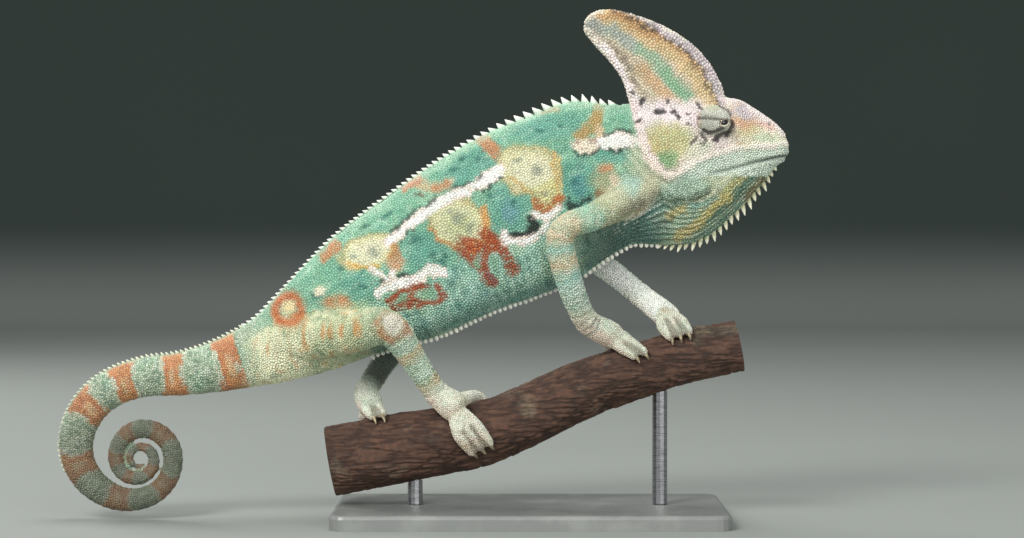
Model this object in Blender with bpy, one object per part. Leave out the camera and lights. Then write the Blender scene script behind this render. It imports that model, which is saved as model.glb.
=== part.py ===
"""Veiled chameleon (Chamaeleo calyptratus), adult male, life size, on a cut branch on a display stand.

+X is the way the animal faces, +Z is up and -Y is its right side. The origin is the centre of the
stand's underside. The tables are in millimetres; MM turns them into metres.
"""

import math

import bmesh
import bpy
import numpy as np
from mathutils import Matrix, Vector

MM = 0.001
GAP = 0.3  # clear space between two neighbouring pieces
GROWN = 1.4 * GAP  # how far a cutter's points move out, so that its edges clear the gap too

# Display stand
BASE_SIZE = (156.0, 92.0, 6.0)
BASE_CORNER, BASE_BEVEL = 6.0, 1.5
ROD_RADIUS, ROD_SIDES = 3.0, 12
ROD_PLACES = (("stand_rod_rear", -46.0), ("stand_rod_front", 52.0))

# Perch: x, height of the axis, sideways bend, radius
PERCH = (
    (-80, 23.4, 1.2, 14.0),
    (-62, 26.6, 0.0, 14.2),
    (-40, 30.6, -0.6, 13.8),
    (-20, 34.8, 0.0, 13.0),
    (0, 42.0, 0.8, 12.3),
    (20, 51.0, 0.6, 11.8),
    (34, 57.0, 0.0, 11.4),
    (50, 62.0, -0.4, 11.0),
    (66, 66.0, 0.0, 10.7),
    (84, 69.5, 0.8, 10.4),
)

# Throat, neck, trunk and tail root, front to rear:
# x and z of the centre, half height, half width, lean of the section in degrees, bias
# (above 0 the section is widest over its middle, below 0 under it)
BODY = (
    (99.0, 145.8, 3.2, 3.6, 0, 0.30),
    (94.8, 142.8, 6.6, 5.6, 0, 0.34),
    (88.4, 138.6, 9.8, 7.4, 0, 0.38),
    (80.4, 133.8, 12.6, 9.2, 0, 0.40),
    (70.4, 129.3, 16.5, 11.4, 0, 0.36),
    (60.0, 129.2, 19.6, 12.6, 0, 0.26),
    (50.0, 133.8, 23.6, 12.8, 0, 0.12),
    (40.8, 138.0, 27.8, 13.0, 0, 0.02),
    (31.6, 136.1, 30.2, 13.8, 3, -0.04),
    (20.8, 134.0, 33.6, 14.8, 8, -0.08),
    (8.0, 128.4, 34.3, 16.0, 14, -0.10),
    (-9.2, 121.2, 33.8, 17.0, 19, -0.10),
    (-27.6, 112.4, 31.8, 17.2, 22, -0.10),
    (-47.2, 100.9, 29.6, 16.4, 25, -0.10),
    (-66.0, 91.5, 25.6, 15.0, 26, -0.08),
    (-80.0, 82.7, 21.8, 13.6, 26, -0.05),
    (-95.2, 73.3, 17.2, 12.0, 23, 0.0),
    (-107.2, 67.1, 13.5, 10.6, 18, 0.0),
    (-121.2, 62.3, 10.9, 9.4, 14, 0.0),
    (-132.0, 59.6, 9.4, 8.6, 11, 0.0),
    (-142.0, 58.0, 8.6, 7.9, 7, 0.0),
)

# Rolled tail: angle round the roll's centre in degrees, distance from it, half height of the section
COIL_CENTRE = (-156.4, 24.6)
COIL = (
    (82, 33.1, 8.1),
    (100, 30.8, 7.7),
    (135, 28.4, 7.3),
    (170, 25.9, 6.9),
    (200, 22.6, 6.3),
    (227, 19.5, 5.6),
    (270, 16.4, 4.6),
    (330, 13.9, 4.2),
    (390, 13.0, 4.2),
    (450, 11.7, 4.0),
    (505, 10.0, 3.7),
    (572, 9.2, 3.3),
    (611, 8.4, 3.1),
    (677, 6.5, 2.7),
    (720, 5.5, 2.5),
    (810, 4.5, 1.9),
    (900, 3.9, 1.5),
    (960, 3.5, 1.2),
    (1027, 2.8, 0.7),
)
COIL_STEP = 15  # degrees between sections
COIL_FLATNESS = 0.92  # width of a tail section over its height

# Head without its casque, snout to nape: x, top, bottom, half width, bias, squareness of the section
HEAD = (
    (103.0, 151.5, 145.5, 2.2, 0.0, 2.0),
    (101.4, 154.6, 143.4, 4.4, 0.0, 2.1),
    (98.4, 158.0, 142.0, 6.2, 0.0, 2.2),
    (94.0, 161.4, 140.6, 7.8, 0.0, 2.3),
    (88.8, 164.8, 139.0, 9.3, -0.04, 2.4),
    (84.0, 167.6, 137.4, 10.8, -0.06, 2.4),
    (79.0, 168.8, 135.6, 12.2, -0.06, 2.4),
    (72.8, 169.4, 132.0, 13.4, -0.06, 2.3),
    (66.4, 169.2, 128.4, 14.4, -0.08, 2.2),
    (60.0, 168.2, 126.8, 14.6, -0.06, 2.1),
    (54.0, 167.0, 130.4, 13.6, 0.0, 2.0),
    (48.0, 166.0, 139.0, 11.4, 0.0, 2.0),
    (44.0, 165.4, 146.6, 8.8, 0.0, 2.0),
    (41.0, 164.4, 154.0, 5.6, 0.0, 2.0),
)

# Casque, brow to tip: z, x of the rear edge, x of the front edge, half thickness
CASQUE = (
    (160.0, 42.6, 78.0, 9.0),
    (165.0, 40.6, 78.8, 8.0),
    (169.0, 39.4, 78.2, 7.0),
    (176.0, 37.0, 76.0, 5.4),
    (184.0, 31.8, 71.4, 4.4),
    (190.0, 26.0, 65.8, 3.8),
    (195.4, 21.8, 58.2, 3.4),
    (199.4, 21.4, 49.8, 3.0),
    (202.2, 23.4, 41.6, 2.4),
    (204.0, 27.6, 34.4, 1.5),
)

# Eyes
EYE_X, EYE_Z = 72.8, 159.2
TURRET_RADII = (6.9, 6.2, 6.6)
TURRET_Y = 11.6
EYEBALL_RADIUS = 2.4
EYEBALL_OFFSET = (3.1, 4.0, -0.8)  # forward, outward and up from the turret's centre

# Limbs, from inside the body to the wrist or ankle: x, y, z, radius
ARM_RIGHT = (
    (46, -5, 131, 7.4),
    (36, -12.5, 126.5, 6.6),
    (24, -19, 121, 5.7),
    (15, -23, 117.8, 5.5),
    (11.4, -23.6, 112.5, 5.9),
    (13.2, -21.8, 103, 5.8),
    (17.0, -17.4, 91, 5.4),
    (21.6, -12.6, 80.5, 5.1),
)
ARM_LEFT = (
    (46, 5, 131, 7.4),
    (38, 12, 126.4, 6.6),
    (28.6, 18.4, 120.4, 5.7),
    (20.6, 22.8, 115.8, 5.4),
    (19.4, 23.4, 109.2, 5.5),
    (26.6, 20.0, 103.8, 5.4),
    (36.0, 15.0, 96.8, 5.1),
    (45.0, 10.2, 89.4, 4.9),
)
LEG_RIGHT = (
    (-98, -4, 74, 10.0),
    (-84, -10.5, 74.6, 9.8),
    (-70, -17, 76.2, 8.7),
    (-59, -21, 78.4, 7.8),
    (-53.2, -21.8, 75.8, 7.1),
    (-48.6, -18.4, 69.0, 5.9),
    (-42.6, -13.6, 59.4, 5.2),
    (-37.4, -9.6, 51.4, 5.2),
)
LEG_LEFT = (
    (-98, 4, 74, 10.0),
    (-84, 11.5, 76, 9.4),
    (-71, 18.6, 79.2, 8.2),
    (-61.5, 23.4, 81.0, 7.2),
    (-54.8, 25.0, 76.8, 6.7),
    (-55.8, 22.2, 68.4, 6.0),
    (-61.6, 16.8, 58.8, 5.2),
    (-66.6, 11.8, 50.4, 5.0),
)
JOINT_ROW = 3.6  # where the elbow or the knee parts the two lengths of a limb

# Feet: the limb, the palm's centre and radius, then each of the two bundles of toes: how many toes, and
# places on the perch as x and angle round it (0 is its top, 90 its right side) for the first toe's middle
# and end, then what each further toe adds to both, and how far a claw reaches on from its toe's end
FEET = (
    ("hand_right", ARM_RIGHT, (31.5, -7.0, 74.6), 5.6,
     ((2, (39.0, 36), (45.0, 60), (-3.6, 1), (2.2, 15)),
      (3, (38.5, -30), (43.0, -64), (-3.3, -1), (1.2, -17)))),
    ("hand_left", ARM_LEFT, (54.4, 3.6, 82.0), 5.4,
     ((3, (60.2, 9), (62.8, 40), (-3.5, 1), (1.0, 15)),
      (2, (59.0, -34), (63.0, -64), (-3.5, 1), (1.8, -16)))),
    ("foot_right", LEG_RIGHT, (-30.4, -12.0, 46.2), 6.4,
     ((3, (-21.4, 76), (-16.2, 106), (-3.3, 3), (2.0, 17)),
      (2, (-22.0, -34), (-16.0, -66), (-3.6, 2), (1.6, -16)))),
    ("foot_left", LEG_LEFT, (-64.4, 5.4, 46.4), 5.5,
     ((2, (-61.4, -1), (-59.2, 22), (-3.6, 0), (1.6, 15)),
      (3, (-60.0, -42), (-56.0, -70), (-3.4, -1), (1.2, -16)))),
)
TOE_RADIUS = 2.7
CLAW_LENGTH, CLAW_RADIUS = 3.6, 0.85
SPUR_LENGTH, SPUR_RADIUS = 2.6, 1.5

# Mesh detail: sections along a piece and corners round a section
HEAD_DETAIL = (13, 18)
CASQUE_DETAIL = (10, 14)
THROAT_DETAIL = (9, 16)
NECK_DETAIL = (4, 16)
TRUNK_DETAIL = (12, 18)
LIMB_DETAIL = (7, 10)
PALM_DETAIL = (6, 10)
TOE_DETAIL = (4, 6)
CLAW_DETAIL = (3, 5)
PERCH_DETAIL = (10, 12)
TURRET_DETAIL = (14, 7)
EYE_DETAIL = (10, 5)

# Pieces of the tail from front to rear: name, where it ends as degrees round the roll, detail
TAIL_PIECES = (
    ("tail_root", 82, (6, 14)),
    ("tail_top", 142, (5, 12)),
    ("tail_bend", 202, (5, 12)),
    ("tail_underside", 280, (6, 12)),
    ("tail_roll_outer", 590, (17, 10)),
    ("tail_roll_inner", COIL[-1][0], (22, 8)),
)

# Places along the body, as x, where one piece ends and the next begins
THROAT_END, NECK_END, TRUNK_END = 56, 33, -112

# Spines, in rows of cones: spacing and height
BACK_SPINES = ((3.4, 2.3), (2.9, 1.7))  # over the shoulders, over the rump
TAIL_SPINES = (2.5, 1.2)
THROAT_SPINES = (3.3, 3.2)
NECK_SPINES = (2.3, 1.3)
BELLY_SPINES = (3.4, 1.3)
SHOULDER, RUMP = 10, -40  # x between which the back's spines grow shorter
ROW_CHANGE = -12  # x where their spacing changes
BELLY_SPINES_END = -72  # x
TEETH_FADE, TEETH_END = 120, 205  # degrees round the roll between which the tail's teeth run out
TEETH_LEAST = 0.35  # share of their height that they keep

SKIN_GREEN = (0.36, 0.52, 0.40)
SKIN_PALE = (0.62, 0.62, 0.50)
CLAW_COLOUR = (0.55, 0.50, 0.38)
EYE_COLOUR = (0.02, 0.015, 0.01)
BARK_COLOUR = (0.12, 0.06, 0.04)
STAND_COLOUR = (0.33, 0.33, 0.31)


# ---- curves through table rows ----

def spline(rows, t):
    """The row at t on a Catmull-Rom curve through the rows; t is 0 at the first row and 1 at the next."""
    i = min(max(int(math.floor(t)), 0), len(rows) - 2)
    f = t - i
    near = [np.array(rows[min(max(j, 0), len(rows) - 1)], float) for j in range(i - 1, i + 3)]
    a, b, c, d = near
    return (b + 0.5 * f * (c - a + f * (2 * a - 5 * b + 4 * c - d + f * (3 * (b - c) + d - a)))).tolist()


def row_at(rows, column, value):
    """The t at which a column that runs one way along the table has this value."""
    low, high = 0.0, len(rows) - 1.0
    rising = rows[-1][column] > rows[0][column]
    for _ in range(40):
        middle = (low + high) / 2
        if (spline(rows, middle)[column] < value) == rising:
            low = middle
        else:
            high = middle
    return low


def coil_rows():
    """The rolled tail as rows of the body table."""
    found = []
    angles = [row[0] for row in COIL]
    for angle in range(angles[0], angles[-1] + 1, COIL_STEP):
        t = row_at(COIL, 0, angle)
        _, radius, half = spline(COIL, t)
        ahead, behind = spline(COIL, t + 0.05), spline(COIL, t - 0.05)
        inward = (behind[1] - ahead[1]) / math.radians(ahead[0] - behind[0])
        lean = angle - 90 + math.degrees(math.atan2(inward, radius))
        x = COIL_CENTRE[0] + radius * math.cos(math.radians(angle))
        z = COIL_CENTRE[1] + radius * math.sin(math.radians(angle))
        found.append((x, z, half, half * COIL_FLATNESS, lean, 0.0))
    return tuple(found)


SPINE_LINE = BODY + coil_rows()


def coil_t(angle):
    """Where on SPINE_LINE the roll reaches this angle."""
    return len(BODY) + (angle - COIL[0][0]) / COIL_STEP


# ---- sections and lofts ----

def steps(first, last, count):
    return [first + (last - first) * k / (count - 1) for k in range(count)]


def turns(count):
    return [2 * math.pi * k / count for k in range(count)]


def egg(count, half_height, half_width, bias, squareness=2.0):
    """An egg-shaped section as (up, side) pairs, from its top round by its right side."""
    pairs = []
    for angle in turns(count):
        c, s = math.cos(angle), math.sin(angle)
        up = math.copysign(abs(c) ** (2 / squareness), c)
        side = math.copysign(abs(s) ** (2 / squareness), s)
        pairs.append((half_height * up, half_width * side * (1 + bias * up)))
    return pairs


def body_ring(t, count, shift=0.0):
    """A section of the body at t, moved shift along the body towards the tail."""
    x, z, half_height, half_width, lean, bias = spline(SPINE_LINE, t)
    up = Vector((-math.sin(math.radians(lean)), 0, math.cos(math.radians(lean))))
    back = Vector((-up.z, 0, up.x))
    centre = Vector((x, 0, z)) + back * shift
    return [centre + up * u + Vector((0, -s, 0)) for u, s in egg(count, half_height, half_width, bias)]


def tube_rings(rows, first, last, detail, shifts=(0.0, 0.0)):
    """Round sections along a limb's path between two t. The shifts move the two end sections along it."""
    count, sides = detail
    rings = []
    over = Vector((0.31, 0.12, 0.94))
    for t in steps(first, last, count):
        centre = Vector(spline(rows, t)[:3])
        along = (Vector(spline(rows, t + 0.02)[:3]) - Vector(spline(rows, t - 0.02)[:3])).normalized()
        over = (over - along * over.dot(along)).normalized()
        across = along.cross(over)
        if not rings:
            centre += along * shifts[0]
        elif len(rings) == count - 1:
            centre += along * shifts[1]
        radius = spline(rows, t)[3]
        rings.append([centre + radius * (math.cos(a) * over + math.sin(a) * across) for a in turns(sides)])
    return rings


def loft(rings):
    """A closed mesh through rings of points that have the same count, with flat ends."""
    bm = bmesh.new()
    rows = [[bm.verts.new(Vector(point) * MM) for point in ring] for ring in rings]
    count = len(rows[0])
    for first, second in zip(rows, rows[1:]):
        for k in range(count):
            bm.faces.new((first[k], first[(k + 1) % count], second[(k + 1) % count], second[k]))
    bm.faces.new(rows[0])
    bm.faces.new(reversed(rows[-1]))
    bmesh.ops.recalc_face_normals(bm, faces=bm.faces)
    return bm


def section_loft(ring, rows, detail):
    """A closed mesh through sections taken evenly along the rows of a table."""
    count, corners = detail
    return loft([ring(t, corners) for t in steps(0, len(rows) - 1, count)])


# ---- objects ----

def empty_scene():
    for obj in list(bpy.data.objects):
        bpy.data.objects.remove(obj)


def collection(name):
    made = bpy.data.collections.new(name)
    bpy.context.scene.collection.children.link(made)
    return made


def material(name, colour, roughness=0.7, metallic=0.0):
    made = bpy.data.materials.new(name)
    made.use_nodes = True
    shader = made.node_tree.nodes["Principled BSDF"]
    shader.inputs["Base Color"].default_value = (*colour, 1)
    shader.inputs["Roughness"].default_value = roughness
    shader.inputs["Metallic"].default_value = metallic
    return made


def piece(name, bm, colour=SKIN_GREEN, roughness=0.7, metallic=0.0):
    """A part of the model, as its own named object with its own material."""
    mesh = bpy.data.meshes.new(name)
    bm.to_mesh(mesh)
    bm.free()
    mesh.shade_smooth()
    mesh.set_sharp_from_angle(angle=math.radians(50))
    mesh.materials.append(material(name, colour, roughness, metallic))
    obj = bpy.data.objects.new(name, mesh)
    PARTS.objects.link(obj)
    return obj


def helper(name, bm):
    """A hidden shape that a Boolean reads."""
    mesh = bpy.data.meshes.new(name)
    bm.to_mesh(mesh)
    bm.free()
    obj = bpy.data.objects.new(name, mesh)
    obj.hide_render = True
    obj.display_type = "WIRE"
    CUTTERS.objects.link(obj)
    return obj


def grown(obj, by=GROWN):
    """A cutter of the object's own shape with every point moved out by a little more than the gap."""
    cutter = bpy.data.objects.new(obj.name + "_grown", obj.data)
    cutter.hide_render = True
    cutter.display_type = "WIRE"
    CUTTERS.objects.link(cutter)
    swell = cutter.modifiers.new("swell", "DISPLACE")
    swell.strength = by * MM
    swell.mid_level = 0
    return cutter


def boolean(obj, operation, other):
    modifier = obj.modifiers.new(operation.lower() + "_" + other.name, "BOOLEAN")
    modifier.operation = operation
    modifier.object = other
    modifier.solver = "EXACT"


def ball(radii, centre, segments, rings):
    bm = bmesh.new()
    bmesh.ops.create_uvsphere(bm, u_segments=segments, v_segments=rings, radius=1)
    size = Matrix.Diagonal((*[r * MM for r in radii], 1))
    bmesh.ops.transform(bm, matrix=Matrix.Translation(Vector(centre) * MM) @ size, verts=bm.verts)
    return bm


def cones(places, sides=4, sunk=1.2):
    """One mesh of separate cones, each given as (root, outward direction, height, root radius)."""
    bm = bmesh.new()
    for root, outward, height, radius in places:
        turn = outward.to_track_quat("Z", "Y").to_matrix().to_4x4()
        middle = root + outward * (height - sunk) / 2
        made = bmesh.ops.create_cone(
            bm, cap_ends=True, segments=sides, radius1=radius, radius2=0, depth=height + sunk
        )
        place = Matrix.Translation(middle) @ turn
        bmesh.ops.transform(bm, matrix=Matrix.Scale(MM, 4) @ place, verts=made["verts"])
    return bm


# ---- spines ----

def edge_point(t, top):
    """A point on the upper or lower edge of the body at t, with the direction out of it."""
    def point(where):
        return body_ring(where, 4)[0 if top else 2]

    along = (point(t + 0.02) - point(t - 0.02)).normalized()
    outward = Vector((-along.z, 0, along.x))
    centre = Vector((*spline(SPINE_LINE, t)[:2], 0)).xzy
    place = point(t)
    return place, outward if outward.dot(place - centre) > 0 else -outward


def spine_row(first, last, top, spacing, height, stout=0.42, forward=0.0):
    """Cones evenly spaced along an edge of the body between two t. Sizes may be functions of t."""
    samples = steps(first, last, 400)
    points = [edge_point(t, top)[0] for t in samples]
    lengths = np.concatenate([[0], np.cumsum([(b - a).length for a, b in zip(points, points[1:])])])
    margin = 0.72 * spacing
    count = max(1, int(round((lengths[-1] - 2 * margin) / spacing)) + 1)
    places = []
    for k in range(count):
        length = lengths[-1] / 2 if count == 1 else margin + (lengths[-1] - 2 * margin) * k / (count - 1)
        t = float(np.interp(length, lengths, samples))
        root, outward = edge_point(t, top)
        outward = (outward + Vector((forward, 0, 0))).normalized()
        tall = height(t) if callable(height) else height
        places.append((root, outward, tall, stout * spacing))
    return places


# ---- perch, stand ----

def perch_at(x):
    """Height, sideways bend and radius of the perch at x."""
    return spline(PERCH, row_at(PERCH, 0, x))[1:]


def on_perch(x, angle, lift):
    """A point lift above the perch's surface at x, at an angle from its top round its right side."""
    height, bend, radius = perch_at(x)
    slope = (perch_at(x + 1)[0] - perch_at(x - 1)[0]) / 2
    reach = radius + lift
    turn = math.radians(angle)
    return Vector((x, bend - reach * math.sin(turn), height + reach * math.cos(turn) * math.hypot(1, slope)))


def perch_ring(t, count):
    x, height, bend, radius = spline(PERCH, t)
    ahead, behind = spline(PERCH, t + 0.05), spline(PERCH, t - 0.05)
    along = Vector((ahead[0] - behind[0], ahead[2] - behind[2], ahead[1] - behind[1])).normalized()
    across = Vector((0, -1, 0))
    over = across.cross(along).normalized()
    knots = [1 + 0.03 * math.sin(3 * a + 1.7 * t) + 0.02 * math.sin(5 * a - 2.3 * t) for a in turns(count)]
    centre = Vector((x, bend, height))
    return [
        centre + radius * knot * (math.cos(a) * over + math.sin(a) * across)
        for knot, a in zip(knots, turns(count))
    ]


def build_perch():
    return piece("perch_branch", section_loft(perch_ring, PERCH, PERCH_DETAIL), BARK_COLOUR, 0.9)


def build_stand(perch):
    bm = bmesh.new()
    bmesh.ops.create_cube(bm, size=1)
    size = Matrix.Diagonal((*[side * MM for side in BASE_SIZE], 1))
    bmesh.ops.transform(bm, matrix=Matrix.Translation((0, 0, BASE_SIZE[2] / 2 * MM)) @ size, verts=bm.verts)
    upright = [e for e in bm.edges if abs(e.verts[0].co.z - e.verts[1].co.z) > MM]
    bmesh.ops.bevel(bm, geom=upright, offset=BASE_CORNER * MM, segments=4, profile=0.5, affect="EDGES")
    top = [e for e in bm.edges if min(v.co.z for v in e.verts) > (BASE_SIZE[2] - 0.01) * MM]
    bmesh.ops.bevel(bm, geom=top, offset=BASE_BEVEL * MM, segments=2, profile=0.5, affect="EDGES")
    piece("stand_base", bm, STAND_COLOUR, 0.35)
    cutter = grown(perch)
    for name, x in ROD_PLACES:
        foot, head = BASE_SIZE[2] + GAP, perch_at(x)[0]
        bm = bmesh.new()
        bmesh.ops.create_cone(
            bm, cap_ends=True, segments=ROD_SIDES, radius1=ROD_RADIUS * MM, radius2=ROD_RADIUS * MM,
            depth=(head - foot) * MM,
        )
        middle = Vector((x, perch_at(x)[1], (head + foot) / 2)) * MM
        bmesh.ops.translate(bm, vec=middle, verts=bm.verts)
        boolean(piece(name, bm, STAND_COLOUR, 0.3, 1.0), "DIFFERENCE", cutter)


# ---- head ----

def head_ring(t, count):
    x, top, bottom, half_width, bias, squareness = spline(HEAD, t)
    middle, half = (top + bottom) / 2, (top - bottom) / 2
    return [Vector((x, -s, middle + u)) for u, s in egg(count, half, half_width, bias, squareness)]


def casque_ring(t, count):
    z, rear, front, half = spline(CASQUE, t)
    middle, reach = (rear + front) / 2, (front - rear) / 2
    return [Vector((middle + u, -s, z)) for u, s in egg(count, reach, half, -0.1, 1.9)]


def build_head():
    head = piece("head", section_loft(head_ring, HEAD, HEAD_DETAIL), SKIN_PALE)
    head_grown = grown(head)
    casque = piece("casque", section_loft(casque_ring, CASQUE, CASQUE_DETAIL), SKIN_PALE)
    casque_grown = grown(casque, 2 * GROWN)
    boolean(casque, "DIFFERENCE", head_grown)
    for name, side in (("right", -1), ("left", 1)):
        centre = Vector((EYE_X, side * TURRET_Y, EYE_Z))
        forward, outward, up = EYEBALL_OFFSET
        looks_from = centre + Vector((forward, side * outward, up))
        eye = piece("eye_" + name, ball([EYEBALL_RADIUS] * 3, looks_from, *EYE_DETAIL), EYE_COLOUR, 0.1)
        turret = piece("eye_turret_" + name, ball(TURRET_RADII, centre, *TURRET_DETAIL), SKIN_PALE)
        boolean(turret, "DIFFERENCE", head_grown)
        boolean(turret, "DIFFERENCE", casque_grown)
        boolean(turret, "DIFFERENCE", grown(eye))
        boolean(eye, "DIFFERENCE", head_grown)
    return head_grown, casque_grown


# ---- body and tail ----

def body_length(name, first, last, detail, spines=(), spine_sides=3):
    """The stretch of the body between two t as a piece, with its spines joined on, and its plain cutter."""
    count, sides = detail
    rings = [body_ring(t, sides) for t in steps(first, last, count)[1:-1]]
    rings = [body_ring(first, sides, GAP / 2)] + rings + [body_ring(last, sides, -GAP / 2)]
    obj = piece(name, loft(rings))
    cutter = grown(obj)
    if spines:
        boolean(obj, "UNION", helper(name + "_spines", cones(spines, spine_sides)))
    return obj, cutter


def back_height(t):
    """Height of a back spine: tallest over the shoulders, less over the rump."""
    shoulder, rump = row_at(BODY, 0, SHOULDER), row_at(BODY, 0, RUMP)
    blend = min(max((t - shoulder) / (rump - shoulder), 0), 1)
    return BACK_SPINES[0][1] + (BACK_SPINES[1][1] - BACK_SPINES[0][1]) * blend


def tail_height(t):
    """Height of a tail tooth, running out round the roll."""
    fade = (coil_t(TEETH_END) - t) / (coil_t(TEETH_END) - coil_t(TEETH_FADE))
    return TAIL_SPINES[1] * min(max(fade, TEETH_LEAST), 1)


def build_trunk(head_grown, casque_grown):
    """Throat, neck and trunk. Returns what the limbs are cut with."""
    neck_t, chest_t, root_t = (row_at(BODY, 0, x) for x in (THROAT_END, NECK_END, TRUNK_END))
    under_throat = spine_row(0.35, neck_t, False, *THROAT_SPINES, stout=0.36, forward=0.25)
    throat, _ = body_length("throat", 0, neck_t, THROAT_DETAIL, under_throat, 4)
    under_neck = spine_row(neck_t, chest_t, False, *NECK_SPINES, forward=0.2)
    neck, neck_grown = body_length("neck", neck_t, chest_t, NECK_DETAIL, under_neck)
    for obj in (throat, neck):
        boolean(obj, "DIFFERENCE", head_grown)
        boolean(obj, "DIFFERENCE", casque_grown)
    change_t = row_at(BODY, 0, ROW_CHANGE)
    spines = spine_row(chest_t, change_t, True, BACK_SPINES[0][0], back_height)
    spines += spine_row(change_t, root_t, True, BACK_SPINES[1][0], back_height)
    spines += spine_row(chest_t, row_at(BODY, 0, BELLY_SPINES_END), False, *BELLY_SPINES)
    _, trunk_grown = body_length("trunk", chest_t, root_t, TRUNK_DETAIL, spines)
    return trunk_grown, neck_grown


def build_tail():
    first = row_at(BODY, 0, TRUNK_END)
    for name, end, detail in TAIL_PIECES:
        last = coil_t(end)
        toothed = first < coil_t(TEETH_END) - 1
        teeth = spine_row(first, last, True, TAIL_SPINES[0], tail_height, stout=0.44) if toothed else ()
        body_length(name, first, last, detail, teeth)
        first = last


# ---- limbs and feet ----

def build_limb(upper, lower, rows, cutters):
    """The two lengths of a limb, parted at the elbow or knee. The first is cut where it meets the body."""
    first = tube_rings(rows, 0, JOINT_ROW, LIMB_DETAIL, (0, -GAP / 2))
    second = tube_rings(rows, JOINT_ROW, len(rows) - 1, LIMB_DETAIL, (GAP / 2, -GAP / 2))
    root = piece(upper, loft(first))
    for cutter in cutters:
        boolean(root, "DIFFERENCE", cutter)
    tip = piece(lower, loft(second))
    boolean(tip, "DIFFERENCE", grown(root, 2 * GROWN))
    return grown(tip)


def toe_rows(palm, x_angle_middle, x_angle_end, step, index):
    """The path of one toe from the palm over the perch, as limb rows."""
    def place(spot, lift):
        return on_perch(spot[0] + step[0] * index, spot[1] + step[1] * index, lift)

    start = palm + (place(x_angle_middle, 4.4) - palm) * 0.1
    return (
        (*start, TOE_RADIUS * 1.15),
        (*place(x_angle_middle, 3.7), TOE_RADIUS * 1.1),
        (*place(x_angle_end, 2.3), TOE_RADIUS * 0.86),
    )


def claw_rows(end, step, sweep, index):
    """The path of a claw from a toe's end down to the bark, as limb rows."""
    x, angle = end[0] + step[0] * index, end[1] + step[1] * index
    root = on_perch(x, angle, 2.3)
    tip = on_perch(x + sweep[0], angle + sweep[1], 0.75)
    toward = (tip - root).normalized()
    root = root + toward * 2 * GAP
    middle = root + toward * CLAW_LENGTH * 0.5 + (on_perch(x, angle, 3.0) - on_perch(x, angle, 2.3)) * 0.6
    return ((*root, CLAW_RADIUS), (*middle, CLAW_RADIUS * 0.7), (*tip, 0.25))


def build_foot(name, limb, palm_centre, palm_radius, bundles, cutters):
    """Wrist or ankle, palm and toes as one piece on the perch, and its claws as pieces of their own."""
    palm = Vector(palm_centre)
    wrist = Vector(limb[-1][:3])
    before = Vector(limb[-2][:3])
    rows = (limb[-2], limb[-1], (*palm, palm_radius), (*(palm + (palm - wrist) * 0.35), palm_radius * 0.8))
    foot = piece(name, loft(tube_rings(rows, 1, 3, PALM_DETAIL, (GAP / 2, 0))), SKIN_PALE)
    number = 0
    for count, middle, end, step, sweep in bundles:
        for index in range(count):
            toe = toe_rows(palm, middle, end, step, index)
            number += 1
            boolean(foot, "UNION", helper(f"{name}_toe_{number}", loft(tube_rings(toe, 0, 2, TOE_DETAIL))))
            claw = claw_rows(end, step, sweep, index)
            piece(f"{name}_claw_{number}", loft(tube_rings(claw, 0, 2, CLAW_DETAIL)), CLAW_COLOUR, 0.35)
    if name.startswith("foot"):
        away = (wrist - palm).normalized()
        root = wrist + away * 1.5 + Vector((0, 0, -3.2))
        heel = (away + Vector((0, 0, -0.55))).normalized()
        spur = cones([(root, heel, SPUR_LENGTH, SPUR_RADIUS)], 8, 2.0)
        boolean(foot, "UNION", helper(name + "_spur", spur))
    for cutter in cutters:
        boolean(foot, "DIFFERENCE", cutter)


def main():
    perch = build_perch()
    build_stand(perch)
    perch_grown = grown(perch)
    head_grown, casque_grown = build_head()
    body_cutters = build_trunk(head_grown, casque_grown)
    build_tail()
    for name, limb, palm, radius, bundles in FEET:
        kind, side = name.split("_")
        upper, lower = ("upper_arm_", "forearm_") if kind == "hand" else ("thigh_", "shin_")
        lower_grown = build_limb(upper + side, lower + side, limb, body_cutters)
        build_foot(name, limb, palm, radius, bundles, (lower_grown, perch_grown))


empty_scene()
PARTS = collection("veiled_chameleon")
CUTTERS = collection("cutters")
main()
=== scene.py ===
"""Looks of the veiled chameleon: skin, solid scales, crests, claws, eyes, bark, stand, studio.

Shapes are in millimetres in the row frame and turned into metres by MM when a mesh is made.
"""

import copy
import math

import bpy
import numpy as np
import openvdb
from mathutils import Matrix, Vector
from mathutils.bvhtree import BVHTree
from mathutils.geometry import barycentric_transform
from mathutils.kdtree import KDTree

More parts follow.
